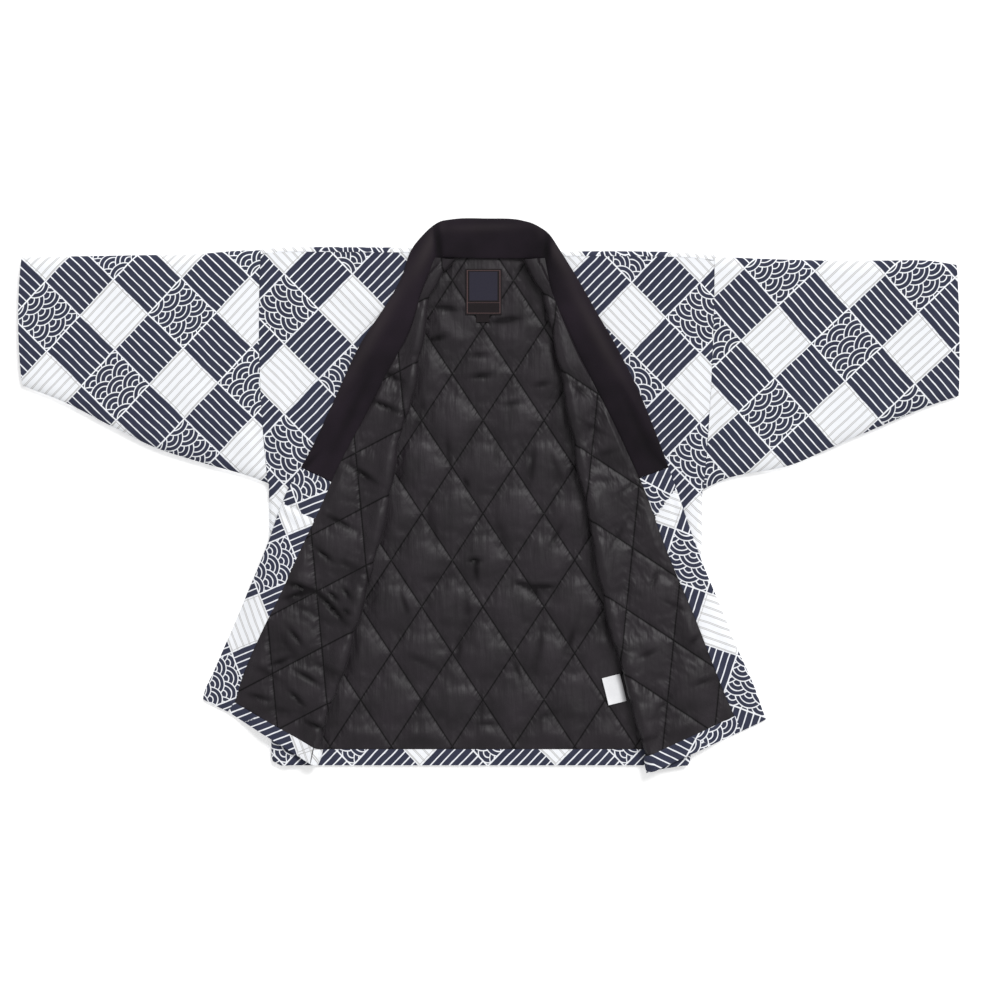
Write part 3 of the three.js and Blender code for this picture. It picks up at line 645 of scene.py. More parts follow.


# Dark brushed cotton of the collar's cover, with painted shade in its creases and a painted highlight on
# their ridges
def makeCollarCloth():
    look = collarLook
    material, tree, shader = newMaterial("collarCloth", 0.8, 0.12, 0.02, 0.6)
    coords = addNode(tree, "ShaderNodeTexCoord").outputs["Object"]
    nap = noise(coords, 1400.0, 3.0)
    tint = calc("MULTIPLY_ADD", minus(noise(coords, 9.0, 3.0), 0.5), 2.2, times(nap, 0.8))
    crease = addNode(tree, "ShaderNodeAttribute", attribute_name="crease").outputs["Fac"]
    ground = mixColour(tint, look["black"], look["bright"])
    # Painted shade darkens the creases and a painted highlight lightens the ridges
    paintedShade = mixColour(larger(times(crease, 0.9), 0.0), ground, look["paintedShade"])
    feed(shader.inputs["Base Color"], mixColour(larger(times(crease, -0.6), 0.0), paintedShade, look["ridgeHighlight"]))
    feed(shader.inputs["Normal"], bump(nap, 0.00025, 0.5))
    return material


labels = {
    "neck": {"x": -7, "y": 292, "width": 52, "height": 66, "wall": 0.8, "press": 58, "turn": 0, "curl": 0.5},
    "size": {"x": -8, "y": 254, "width": 19, "height": 11, "wall": 0.6, "press": 26, "turn": 0, "curl": 0.3},
    "care": {"x": 181, "y": -280, "width": 27, "height": 40, "wall": 1, "press": 46, "turn": 14, "curl": 2.2},
    "pad": 1.5,
    "rise": 0.12,
}
labelLook = {
    "black": paint(21, 17, 20),
    "navy": paint(40, 40, 54),
    "copper": paint(104, 80, 80),
    "frame": (-30.4, 261.6, 16.6, 322.6),
    "square": (-27.4, 279.6, 13.0, 321.0),
    "divider": 276.4,
    "line": 0.5,
    "ribApart": 0.5,
    "white": paint(244, 244, 246),
    "shade": paint(205, 206, 210),
    "foldShade": paint(96, 94, 98),
    "foldFrom": 6.0,
    "foldWide": 9.0,
}


# 1 inside a rectangle of x and y in millimetres, 0 outside
def insideOf(x, y, box):
    left, low, right, high = box
    alongX = times(calc("GREATER_THAN", x, left), calc("LESS_THAN", x, right))
    alongY = times(calc("GREATER_THAN", y, low), calc("LESS_THAN", y, high))
    return times(alongX, alongY)


# Woven black label: a copper frame and divider round a plain navy square
def makeLabelCloth():
    look = labelLook
    material, tree, shader = newMaterial("labelWeave", 0.75, 0.22, 0.0, 0.5)
    coords = addNode(tree, "ShaderNodeTexCoord").outputs["Object"]
    x, y = (times(place, 1000.0) for place in separated(coords))
    left, low, right, high = look["frame"]
    line, divider = look["line"], look["divider"]
    outer = insideOf(x, y, (left - line, low - line, right + line, high + line))
    inner = insideOf(x, y, (left + line, low + line / 3, right - line, high - line / 3))
    across = insideOf(x, y, (left, divider - line / 2, right, divider + line / 2))
    copper = larger(minus(outer, inner), across)
    ribs = calc("MULTIPLY_ADD", calc("SINE", times(y, 2 * math.pi / look["ribApart"])), 0.5, 0.5)
    yarn = noise(coords, 900.0, 2.0)
    ground = mixColour(insideOf(x, y, look["square"]), look["black"], look["navy"])
    bordered = mixColour(times(copper, calc("MULTIPLY_ADD", yarn, 0.6, 0.5)), ground, look["copper"])
    feed(shader.inputs["Base Color"], mixColour(times(yarn, 0.06), bordered, look["copper"]))
    feed(shader.inputs["Normal"], bump(plus(ribs, yarn), 0.0002, 0.6))
    return material


# White satin tape, folded double along its right edge, with painted shade towards the fold
def makeTape():
    look, label = labelLook, labels["care"]
    material, tree, shader = newMaterial("whiteTape", 0.38, 0.45, 0.0, 0.5)
    coords = addNode(tree, "ShaderNodeTexCoord").outputs["Object"]
    soft, yarn = noise(coords, 60.0, 2.0), noise(coords, 1500.0, 2.0)
    c, s = cosSin(label["turn"])
    x, y = separated(coords)
    rowX = calc("MULTIPLY_ADD", y, 1000 * s, times(x, 1000 * c))
    foldX = label["x"] * c + label["y"] * s + look["foldFrom"]
    # Painted shade darkens the tape towards its folded edge
    folded = clamped(calc("DIVIDE", minus(rowX, foldX), look["foldWide"]))
    tape = mixColour(times(soft, 0.5), look["white"], look["shade"])
    feed(shader.inputs["Base Color"], mixColour(folded, tape, look["foldShade"]))
    feed(shader.inputs["Normal"], bump(calc("MULTIPLY_ADD", yarn, 0.15, soft), 0.0008, 0.6))
    return material


printCotton = makePrint()
quiltedSatin = makeSatin()
collarCloth = makeCollarCloth()
labelWeave = makeLabelCloth()
whiteTape = makeTape()
print("materials made")


# One value of all the vertices, loops or faces of a mesh, in rows
def readAll(items, key, width=3, kind=float):
    values = np.zeros(len(items) * width, kind)
    items.foreach_get(key, values)
    return values.reshape(-1, width)


# A mesh object from points in millimetres and faces, with a UV map for each named set of coordinates
def makeCloth(name, points, faces, maps, materials, faceMaterials=None):
    mesh = bpy.data.meshes.new(name)
    mesh.from_pydata((np.asarray(points) * 0.001).tolist(), [], [list(map(int, f)) for f in faces])
    corners = readAll(mesh.loops, "vertex_index", 1, int)[:, 0]
    for mapName, coords in maps.items():
        layer = mesh.uv_layers.new(name=mapName)
        layer.data.foreach_set("uv", np.asarray(coords, float)[corners].ravel())
    for material in materials:
        mesh.materials.append(material)
    if faceMaterials is not None:
        mesh.polygons.foreach_set("material_index", np.asarray(faceMaterials, int))
    piece = bpy.data.objects.new(name, mesh)
    bpy.context.collection.objects.link(piece)
    bpy.ops.object.select_all(action="DESELECT")
    piece.select_set(True)
    bpy.context.view_layer.objects.active = piece
    bpy.ops.object.mode_set(mode="EDIT")
    bpy.ops.mesh.select_all(action="SELECT")
    bpy.ops.mesh.normals_make_consistent(inside=False)
    bpy.ops.object.mode_set(mode="OBJECT")
    bpy.ops.object.shade_smooth_by_angle(angle=math.radians(50))
    piece.select_set(False)
    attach(piece, "root")
    return piece


# Points, faces and coordinates of a wall between two grids, closed round its edges
def wallBetween(inner, outer):
    rows, columns = inner.shape[:2]
    count = rows * columns
    number = np.arange(count).reshape(rows, columns)
    a, b, c, d = number[:-1, :-1], number[:-1, 1:], number[1:, 1:], number[1:, :-1]
    quads = np.stack([a, b, c, d], -1).reshape(-1, 4)
    loop = np.concatenate([number[0, :-1], number[:-1, -1], number[-1, :0:-1], number[:0:-1, 0]])
    after = np.roll(loop, -1)
    rim = np.stack([loop, after, after + count, loop + count], -1)
    faces = np.concatenate([quads[:, ::-1], quads + count, rim])
    return np.concatenate([inner.reshape(-1, 3), outer.reshape(-1, 3)]), faces


# The wall of a front's cloth between two distances from its middle surface, towards the lining
def frontWall(side, point, toLining, near, far):
    return wallBetween(*(mirrored(side, point + toLining * np.asarray(d)[..., None]) for d in (near, far)))


# Faces between rings of points that lie one after another, and the points' numbers
def ringFaces(rows, around):
    number = np.arange(rows * around).reshape(rows, around)
    following = np.roll(number, -1, axis=1)
    corners = [number, following, np.roll(following, -1, axis=0), np.roll(number, -1, axis=0)]
    return number, np.stack(corners, -1)


def twice(coords):
    flat = coords.reshape(-1, coords.shape[-1])
    return np.concatenate([flat, flat])


creaseShading = {"deepest": 3.6, "longer": 1.1, "wider": 1.7}


# How deep each point lies in a crease, below 0 on a ridge, for the painted shade in creases and the painted
# highlight on ridges of its cloth
def markCreases(piece, rise):
    layer = piece.data.attributes.new("crease", "FLOAT", "POINT")
    layer.data.foreach_set("value", np.clip(-rise / creaseShading["deepest"], -1, 1).ravel())


# The lining's creases as their painted shade marks them, a little wider than they are pressed in
def creaseShade(creases, x, y):
    scale = np.array([1, 1, creaseShading["longer"], 1, creaseShading["wider"], 1])
    return foldsAt(np.array(creases) * scale, x, y)[..., None]


def subdivide(piece, levels):
    modifier = piece.modifiers.new("smooth", "SUBSURF")
    modifier.levels = modifier.render_levels = levels
    bpy.context.view_layer.objects.active = piece
    bpy.ops.object.modifier_apply(modifier=modifier.name)


# Quilting: 0 on a stitched line to 1 in the middle of a diamond
backQuilt = {"x": -8, "y": -27, "width": 88, "height": 134}


def backLattice(x, y):
    u, v = (x - backQuilt["x"]) / backQuilt["width"], (y - backQuilt["y"]) / backQuilt["height"]
    return np.stack([u + v, u - v], -1)


def flapLattice(side, x, y):
    quilt = side["quilt"]
    back = np.linalg.inv(np.array([quilt["across"], quilt["down"]], float).T)
    return np.stack([x - quilt["x"], y - quilt["y"]], -1) @ back.T


def pillow(lattice):
    return np.sqrt(np.abs(np.sin(np.pi * lattice[..., 0]) * np.sin(np.pi * lattice[..., 1])))


# The wadding's push: a flat sheet held down along its stitched lines is blown up and grows a little,
# so that it domes between the lines and puckers beside them
quilting = {
    "divisions": 24,
    "frames": 18,
    "start": 2.2,
    "uneven": 0.15,
    "softCap": 5.4,
    "seed": 5,
    "cloth": {
        "quality": 4,
        "mass": 0.15,
        "tension_stiffness": 12,
        "compression_stiffness": 12,
        "shear_stiffness": 5,
        "bending_stiffness": 0.12,
        "use_pressure": True,
        "uniform_pressure_force": 1.6,
        "shrink_min": -0.024,  # the sheet grows
    },
}


def quiltedHeights(name, origin, first, second, low, high, keep):
    n = quilting["divisions"]
    i, j = np.meshgrid(*(np.arange(low[k] * n, high[k] * n + 1) for k in (0, 1)), indexing="ij")
    lattice = np.stack([i / n, j / n], -1)
    plan = np.array(origin) + lattice[..., :1] * np.array(first) + lattice[..., 1:] * np.array(second)
    domed = quilting["start"] * pillow(lattice)
    kept = keep(plan[..., 0], plan[..., 1])
    sewn = (i % n == 0) | (j % n == 0)
    random = np.random.default_rng(quilting["seed"])
    domed = domed + np.where(sewn, 0, random.normal(0, quilting["uneven"], i.shape))
    number = np.cumsum(kept.ravel()).reshape(i.shape) - 1
    whole = kept[:-1, :-1] & kept[1:, :-1] & kept[1:, 1:] & kept[:-1, 1:]
    quads = np.stack([number[:-1, :-1], number[:-1, 1:], number[1:, 1:], number[1:, :-1]], -1)[whole]
    turn = np.cross(np.array([*first, 0.0]), np.array([*second, 0.0]))[2]
    points = np.concatenate([plan, domed[..., None]], -1)[kept] * 0.001
    mesh = bpy.data.meshes.new(name)
    mesh.from_pydata(points.tolist(), [], (quads if turn < 0 else quads[:, ::-1]).tolist())
    sheet = bpy.data.objects.new(name, mesh)
    bpy.context.collection.objects.link(sheet)
    sheet.vertex_groups.new(name="sewn").add(np.flatnonzero(sewn[kept]).tolist(), 1.0, "REPLACE")
    blown = sheet.modifiers.new("blown", "CLOTH")
    blown.settings.vertex_group_mass = "sewn"
    for setting, value in quilting["cloth"].items():
        setattr(blown.settings, setting, value)
    blown.settings.effector_weights.gravity = 0
    blown.collision_settings.use_collision = False
    blown.point_cache.frame_end = quilting["frames"]
    for step in range(1, quilting["frames"] + 1):
        bpy.context.scene.frame_set(step)
    done = sheet.evaluated_get(bpy.context.evaluated_depsgraph_get())
    places = readAll(done.data.vertices, "co")
    bpy.data.objects.remove(sheet)
    bpy.context.scene.frame_set(1)
    heights = np.zeros(i.shape)
    heights[kept] = np.maximum(places[:, 2] * 1000, 0)
    print(name, "blown up, middle and highest", np.median(heights[kept]).round(2), heights.max().round(2))
    return lattice[0, 0], quilting["softCap"] * np.tanh(heights / quilting["softCap"])


# Height of the blown sheet at a point of the lattice
def heightAt(relief, lattice):
    start, heights = relief
    at = (lattice - start) * quilting["divisions"]
    i = np.clip(np.floor(at[..., 0]).astype(int), 0, heights.shape[0] - 2)
    j = np.clip(np.floor(at[..., 1]).astype(int), 0, heights.shape[1] - 2)
    s, t = np.clip(at[..., 0] - i, 0, 1), np.clip(at[..., 1] - j, 0, 1)
    return mix(mix(heights[i, j], heights[i + 1, j], s), mix(heights[i, j + 1], heights[i + 1, j + 1], s), t)


# Fronts
frontGrid = {
    "rows": 120,
    "fold": 8,
    "under": 44,
    "roll": 14,
    "flap": 34,
    "liningRows": 220,
    "liningRoll": 20,
    "liningFlap": 60,
    "stripRows": 8,
    "stripColumns": 80,
    "stripStart": 2.15,
    # In columns: where the folds show, where the quilting starts and where it is sewn down
    "foldsFrom": (0.6, 1.3),
    "foldsTo": (2.2, 1.7),
    "quiltedOver": (2.1, 2.6),
    "sewnFrom": 3.85,
}
hemFade = 24  # how far in from a hem or the neck the quilting reaches its full height


def frontRows(side, count):
    start, end = side["fronts"][0][1], side["fronts"][-1][1]
    return rowAt(side, rollAt, np.linspace(start, end, count + 1))


def columnsOf(*parts):
    runs = [np.linspace(start, start + 1, frontGrid[name] + 1)[1:] for start, name in parts]
    return np.concatenate([[parts[0][0]], *runs])


def foldsAt(folds, x, y):
    height = 0 * x
    for foldX, foldY, foldLength, angle, width, rise in folds:
        c, s = cosSin(angle)
        along = (x - foldX) * c + (y - foldY) * s
        across = (y - foldY) * c - (x - foldX) * s
        height = height + rise * np.exp(-((across / width) ** 2) - (2 * along / foldLength) ** 2)
    return height


def frontShell(name, side):
    rows = frontRows(side, frontGrid["rows"])[:, None]
    columns = columnsOf((0, "fold"), (1, "under"), (2, "roll"), (3, "flap"))[None, :]
    point, toLining, flat, _ = frontSurface(side, rows, columns)
    showing = smooth(*frontGrid["foldsFrom"], columns) * smooth(*frontGrid["foldsTo"], columns)
    point[..., 2] += showing * np.maximum(0, foldsAt(side["bodyFolds"], *xyOf(point)))
    points, faces = frontWall(side, point, toLining, -halfGap, -halfGap - cloth["shell"])
    coords = squareCoords(mirrored(side, flat), f"body_{name}")
    maps = {"fabric": twice(coords)}
    piece = makeCloth(f"frontShell_{name}", points, faces, maps, [printCotton])
    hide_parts(f"front_shell_{name}")


# Thickness of a front's lining: pressed under the flap, quilted on it, thin at its sewn edges
def frontThickness(side, row, column, relief, flap):
    hem = side["fronts"][-1][1] + cloth["hemDepth"]
    edges = smooth(4, frontGrid["sewnFrom"], column) * smooth(hem, hem + hemFade, rollAt(side, row)[..., 1])
    creases = foldsAt(side["flapCreases"], *xyOf(flap))
    height = heightAt(relief, flapLattice(side, *xyOf(flap)))
    puffed = cloth["stitched"] + np.maximum(-1.0, height + creases)
    quilted = mix(cloth["pressed"], puffed, smooth(*frontGrid["quiltedOver"], column))
    return mix(quilted, cloth["stitched"], (1 - edges) * (column > 3))


flapSheet = {"from": 30, "to": 400, "top": 380, "bottom": -400, "beside": 50, "narrow": 70, "wider": 140}


# The quilted sheet of a flap, in the flap's plane
def flapRelief(name, side):
    quilt, sheet = side["quilt"], flapSheet
    xs, ys = (sheet["from"], sheet["to"]), (sheet["top"], sheet["bottom"])
    corners = np.array([(x, y) for x in xs for y in ys])
    reach = flapLattice(side, *xyOf(corners))
    low, high = np.floor(reach.min(0)).astype(int), np.ceil(reach.max(0)).astype(int)

    def keep(x, y):
        start = rollAt(side, rowAt(side, rollAt, y))[..., 0] - sheet["beside"]
        end = start + sheet["narrow"] + sheet["wider"] * smooth(330, -200, y)
        return (x > start) & (x < end) & (np.abs(y) < sheet["to"])

    origin = (quilt["x"], quilt["y"])
    return quiltedHeights(f"flapSheet_{name}", origin, quilt["across"], quilt["down"], low, high, keep)


def frontLining(name, side, relief):
    rows = frontRows(side, frontGrid["liningRows"])[:, None]
    columns = columnsOf((1, "under"), (2, "liningRoll"), (3, "liningFlap"))[None, :]
    row, column = np.broadcast_arrays(rows, columns)
    point, toLining, _, flap = frontSurface(side, row, column)
    thick = halfGap + frontThickness(side, row, column, relief, flap)
    points, faces = frontWall(side, point, toLining, halfGap, thick)
    maps = {"quilt": twice(flapLattice(side, *xyOf(flap)))}
    piece = makeCloth(f"frontLining_{name}", points, faces, maps, [quiltedSatin])
    markCreases(piece, twice(creaseShade(side["flapCreases"], *xyOf(flap)) * (column > 2)[..., None]))
    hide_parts(f"front_lining_{name}")


# The turned-up hem on the flap, from the roll's inner edge to the collar band
def frontHemStrip(name, side, relief):
    end = side["fronts"][-1][1]
    rows = rowAt(side, rollAt, np.linspace(end + cloth["hemDepth"], end, frontGrid["stripRows"] + 1))[:, None]
    columns = np.linspace(frontGrid["stripStart"], 4, frontGrid["stripColumns"] + 1)[None, :]
    row, column = np.broadcast_arrays(rows, columns)
    point, toLining, _, flap = frontSurface(side, row, column)
    base = halfGap + cloth["gap"] + frontThickness(side, row, column, relief, flap)
    points, faces = frontWall(side, point, toLining, base, base + cloth["facing"])
    coords = squareCoords(mirrored(side, flap), f"strip_{name}")
    # The strip is cut from one row of squares
    lowest = squares[f"strip_{name}"][3]
    coords[..., 1] = lowest + np.abs((coords[..., 1] - lowest + 1) % 2 - 1)
    maps = {"fabric": twice(coords)}
    piece = makeCloth(f"frontHemStrip_{name}", points, faces, maps, [printCotton])
    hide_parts(f"front_hem_strip_{name}")


# Back
backGrid = {
    "x": 96,
    "y": 100,
    "corner": 8,
    "turn": 10,
    "linesAcross": 32,
    "shoulderFold": (68, 92),
    "reachX": 300,
    "reachY": 320,
    "rollFade": 16,
    "sheetX": 40,  # past the roll
    "sheetY": (-395, 350),
    "stripRows": 8,
    "stripColumns": 160,
}


def sideOf(x):
    return sides["left"] if x < 0 else sides["right"]


def bySide(x, function):
    return np.where(x < 0, function(sides["left"]), function(sides["right"]))


def backShell():
    cornerEnd = cloth["hemY"] + sides["left"]["corner"]
    corner = np.linspace(cloth["hemY"], cornerEnd, backGrid["corner"] + 1)[:-1]
    up = np.concatenate([corner, np.linspace(cornerEnd, backGrid["reachY"], backGrid["y"])])
    inner = np.linspace(-backGrid["reachX"], backGrid["reachX"], backGrid["x"] + 1)
    half, rounding = (frontLevel - backLevel) / 2, cloth["edgeRound"]

    def grid(distance):
        lines, cuts = [], []
        turns = np.linspace(0, 1, backGrid["turn"] + 1)
        stages = [(y, 0.0) for y in up] + [(math.inf, turn) for turn in turns]
        for y, turn in stages:
            line, cut = [], []
            for x, outermost in [(-1, True), *((x, False) for x in inner), (1, True)]:
                side = sideOf(x)
                plan = side["armhole"]["top"][0] - cloth["gap"] if outermost else abs(x)
                fold = float(smooth(*backGrid["shoulderFold"], plan))
                flatY = min(y, mix(cloth["neckY"], float(shoulderY(side, plan)) - rounding, fold))
                angle = (fold * turn - 0.5) * math.pi
                edge = float(backEdge(side, flatY))
                placeX = side["sign"] * edge if outermost else max(2 - edge, min(edge - 2, x))
                reach = (rounding + distance) * math.cos(angle) + (1 - fold) * rounding * turn
                line.append((placeX, flatY + reach, backLevel + half + (half + distance) * math.sin(angle)))
                cut.append((-placeX, flatY + half * math.pi * turn))
            lines.append(line)
            cuts.append(cut)
        return np.array(lines), np.array(cuts)

    inside, cut = grid(halfGap)
    outside, _ = grid(halfGap + cloth["shell"])
    points, faces = wallBetween(inside, outside)
    coords = squareCoords(cut, "body_left")
    piece = makeCloth("backShell", points, faces, {"fabric": twice(coords)}, [printCotton])
    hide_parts("back_shell")


# Short sharp creases of the lining in the folds' layout, with x and y of the whole coat
backCreases = [
    (-100, 110, 56, 78, 4.0, -1.6), (-84, -40, 60, -80, 4.0, -1.5), (-30, -170, 70, -82, 4.4, -1.6),
    (20, -60, 60, -72, 4.2, -1.4), (72, -220, 66, 80, 4.4, -1.5), (-70, -120, 50, 12, 4.0, -1.3),
    (-10, -300, 56, 86, 4.0, -1.4), (-96, -240, 50, -24, 4.0, -1.4), (96, 40, 46, -66, 4.0, -1.5),
    (-62, 269, 42, -6, 2.6, -3.7), (26, 252, 42, 8, 2.8, -4.1), (-16, 201, 30, 0, 2.4, -2.7),
    (-10, 171, 30, 4, 2.6, -3.1), (77, 159, 20, 5, 2.4, -2.7), (35, 131, 22, 8, 2.6, -2.4),
    (66, 322, 34, -46, 3.0, -4.4), (-20, -95, 18, 0, 2.4, -3.7), (-18, -110, 26, -82, 2.6, -2.7),
    (50, -129, 24, -18, 2.4, -3.7), (66, -140, 22, -48, 2.6, -3.4), (78, -132, 30, -2, 2.4, -4.1),
    (-32, 18, 16, -56, 2.4, -3.1), (-75, 225, 26, 12, 2.6, -3.4), (-58, 60, 44, -84, 3.0, -2.0),
    (12, 60, 40, -88, 3.0, -1.7), (62, 40, 46, 84, 3.2, -2.0), (-42, -220, 40, 80, 3.0, -2.0),
    (40, -250, 34, -76, 2.8, -2.4), (96, -60, 30, 62, 2.6, -2.7), (-120, -160, 36, -70, 2.8, -2.4),
    (-96, -300, 30, 66, 2.6, -2.4), (118, -210, 34, 74, 2.8, -2.4), (0, -330, 32, -8, 2.6, -2.0),
    (82, -318, 28, 20, 2.6, -2.0),
]


# Height of the wadding over the stitched lines of the back's lining
def backPuff(x, y, relief):
    inside = bySide(x, lambda side: rollAt(side, rowAt(side, rollAt, y))[..., 0]) - np.abs(x)
    showing = smooth(0, backGrid["rollFade"], inside)
    most = mix(cloth["pressed"] - cloth["stitched"], cloth["puff"], showing)
    blown = heightAt(relief, backLattice(x, y)) + foldsAt(backCreases, x, y)
    height = np.maximum(0, blown) * most / cloth["puff"]
    for key in ("neck", "size", "care"):
        label = labels[key]
        away = np.hypot(x - label["x"], y - label["y"]) - label["press"]
        height = np.minimum(height, labels["pad"] + np.maximum(0, away) * labels["rise"])
    hemTop = cloth["hemY"] + cloth["hemDepth"]
    return height * smooth(hemTop, hemTop + hemFade, y) * smooth(cloth["neckY"], cloth["neckY"] - hemFade, y)


def backLining():
    halfWidth, halfHeight = backQuilt["width"] / 2, backQuilt["height"] / 2
    origin = (backQuilt["x"], backQuilt["y"])

    def keep(x, y):
        row = np.clip(rowAt(sides["left"], rollAt, y), 0, None)
        end = rollAt(sides["left"], row)[..., 0] + backGrid["sheetX"]
        return (np.abs(x) < end) & (y > backGrid["sheetY"][0]) & (y < backGrid["sheetY"][1])

    first, second = (halfWidth, halfHeight), (halfWidth, -halfHeight)
    relief = quiltedHeights("backSheet", origin, first, second, (-9, -7), (7, 9), keep)
    leftTurn = -float(turnX(sides["left"], cloth["hemY"]))
    rightTurn = float(turnX(sides["right"], cloth["hemY"]))
    number = np.arange(-200, 200)
    xs = backQuilt["x"] + backQuilt["width"] / backGrid["linesAcross"] * number
    ys = backQuilt["y"] + backQuilt["height"] / backGrid["linesAcross"] * number
    xs = xs[(xs > leftTurn + 3) & (xs < rightTurn - 3)]
    ys = ys[(ys > cloth["hemY"] + 2) & (ys < cloth["neckY"] - 3)]
    ys = np.concatenate([[cloth["hemY"]], ys, [cloth["neckY"] - cloth["gap"]]])
    grid = np.zeros((len(ys), len(xs) + 2, 2))
    grid[:, 1:-1, 0] = xs
    grid[..., 1] = ys[:, None]
    grid[:, 0, 0] = -backEdge(sides["left"], ys)
    grid[:, -1, 0] = backEdge(sides["right"], ys)
    x = grid[..., 0]
    below = bySide(x, lambda side: shoulderY(side, np.abs(x))) - cloth["edgeRound"] - cloth["gap"]
    y = np.minimum(grid[..., 1], below)
    low = np.stack([x, y, 0 * x + cloth["shell"] + cloth["gap"]], -1)
    high = np.stack([x, y, backLiningTop + backPuff(x, y, relief)], -1)
    points, faces = wallBetween(low, high)
    maps = {"quilt": twice(backLattice(x, y))}
    piece = makeCloth("backLining", points, faces, maps, [quiltedSatin])
    markCreases(piece, twice(creaseShade(backCreases, x, y)))
    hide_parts("back_lining")


def backHemStrip():
    ys = np.linspace(cloth["hemY"], cloth["hemY"] + cloth["hemDepth"], backGrid["stripRows"] + 1)[:, None]
    share = np.linspace(0, 1, backGrid["stripColumns"] + 1)[None, :]
    x = mix(-backEdge(sides["left"], ys), backEdge(sides["right"], ys), share)
    y = ys + 0 * x
    low = np.stack([x, y, 0 * x + backLiningTop + cloth["gap"]], -1)
    high = low + np.array([0, 0, cloth["facing"]])
    points, faces = wallBetween(low, high)
    coords = squareCoords(np.stack([-x, 2 * cloth["hemY"] - y], -1), "body_left")
    piece = makeCloth("backHemStrip", points, faces, {"fabric": twice(coords)}, [printCotton])
    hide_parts("back_hem_strip")


# Collar
collarGrid = {"rows": 60, "neck": 20, "pinched": 0.02, "closest": 0.02, "upperFace": (0.2, 0.7)}
# The band's section, from its seam at 0 to its folded edge at 1, and up from its underside
bandSection = np.array([
    (0, 0.15), (0.08, 0), (0.36, 0), (0.64, 0), (0.92, 0), (1, 0.3),
    (1, 0.68), (0.92, 0.97), (0.64, 1.05), (0.36, 1.05), (0.1, 0.99), (-0.08, 0.84),
])
# Behind the neck: seam x and y, edge x and y, underside's height at the seam and at the edge
neckStations = [
    (-73, 342, -70, 394, 10, 5), (-48, 343, -41, 398, 5, 1.5), (-2, 342, -2, 398, 2, 0),
    (45, 342, 38, 397, 5, 1.5), (71, 341, 64, 391, 10, 5),
]


def bandRing(side, seam, edge, thickness, lowSeam=0.0, lowEdge=0.0):
    away = unit(edge - seam)
    seam = seam + away * cloth["gap"]
    across, up = bandSection[:, :1], bandSection[:, 1]
    plan = mix(seam, edge, across)
    base = mix(lowSeam, lowEdge, bandSection[:, 0])
    if side is not None:
        base = flapHeight(side, np.abs(plan[:, 0]), plan[:, 1]) - backLevel
    return np.concatenate([plan, (base + up * thickness)[:, None]], -1)


def sideStations(side, rows, thickness):
    mirror = np.array([side["sign"], 1])
    return [bandRing(side, seamAt(side, r) * mirror, bandEdgeAt(side, r) * mirror, thickness) for r in rows]


# Soft creases pressed into a band's upper face: x and y of the whole coat, length, angle, width, rise
collarCreases = [
    (-73, 366, 74, 97, 5.0, -3.6), (-88, 352, 84, 66, 9.0, 2.6), (84, 359, 66, 84, 5.5, -3.6),
    (98, 346, 80, 122, 8.0, 2.2), (-4, 384, 120, 2, 6.0, 1.6), (-160, 240, 200, 60, 10.0, 2.2),
    (-196, 120, 150, 64, 7.0, -1.8), (158, 226, 190, 118, 9.0, 2.2), (216, 96, 150, 114, 7.0, -1.8),
    (-262, 42, 50, 44, 4.0, -2.2), (-276, 22, 44, 70, 4.0, 1.6), (256, 36, 50, 130, 4.0, -2.2),
    (270, 20, 40, 104, 4.0, 1.6),
]
bandCreases = [
    (-275, -22, 62, -28, 3.2, -3.4), (-282, -2, 44, 30, 5.0, 1.6), (-290, -34, 40, -50, 4.5, -1.8),
    (-300, -60, 70, 66, 6.0, 1.2), (-352, -190, 90, 62, 7.0, 1.0), (253, -12, 66, 53, 3.2, -3.4),
    (244, 6, 40, 20, 5.0, 1.6), (268, -28, 44, 96, 4.5, -1.8), (286, -70, 80, 112, 6.0, 1.2),
    (338, -200, 90, 116, 7.0, 1.0),
]


def crease(piece, creases):
    places = readAll(piece.data.vertices, "co") * 1000
    upward = smooth(*collarGrid["upperFace"], readAll(piece.data.vertices, "normal")[:, 2])
    rise = upward * foldsAt(creases, *xyOf(places))
    places[:, 2] += rise
    piece.data.vertices.foreach_set("co", (places * 0.001).ravel())
    piece.data.update()
    markCreases(piece, rise)


# Where a band is tucked under the cover: a line from its folded edge to its seam
tucks = {"left": ((-295.5, -10.7), (-254.2, -33)), "right": ((267.1, 6.8), (238.6, -31.4))}


def layPrint(piece, side):
    mesh = piece.data
    corners = readAll(mesh.loops, "vertex_index", 1, int)[:, 0]
    flat = readAll(mesh.vertices, "co")[corners, :2] * 1000
    coords = squareCoords(flat, f"band_{side}")
    (startX, startY), (endX, endY) = tucks[side]
    sizes = readAll(mesh.polygons, "loop_total", 1, int)[:, 0]
    x, y = np.repeat(readAll(mesh.polygons, "center")[:, :2] * 1000, sizes, axis=0).T
    lineY = startY + (x - startX) * (endY - startY) / (endX - startX)
    above = y > lineY
    coords[above] = squareCoords(flat[above], f"bandTop_{side}")
    layer = mesh.uv_layers.new(name="fabric")
    layer.data.foreach_set("uv", coords.ravel())


def bandMesh(name, rings, material, side):
    rings = np.array([rings[0], *rings, rings[-1]])
    for end in (0, -1):
        rings[end] = rings[end] * (1 - collarGrid["pinched"]) + rings[end].mean(0) * collarGrid["pinched"]
    number, quads = ringFaces(*rings.shape[:2])
    faces = [*quads[:-1].reshape(-1, 4).tolist(), number[0].tolist(), number[-1, ::-1].tolist()]
    piece = makeCloth(name, rings.reshape(-1, 3), faces, {}, [material])
    subdivide(piece, 2)
    if side:
        layPrint(piece, side)
    return piece


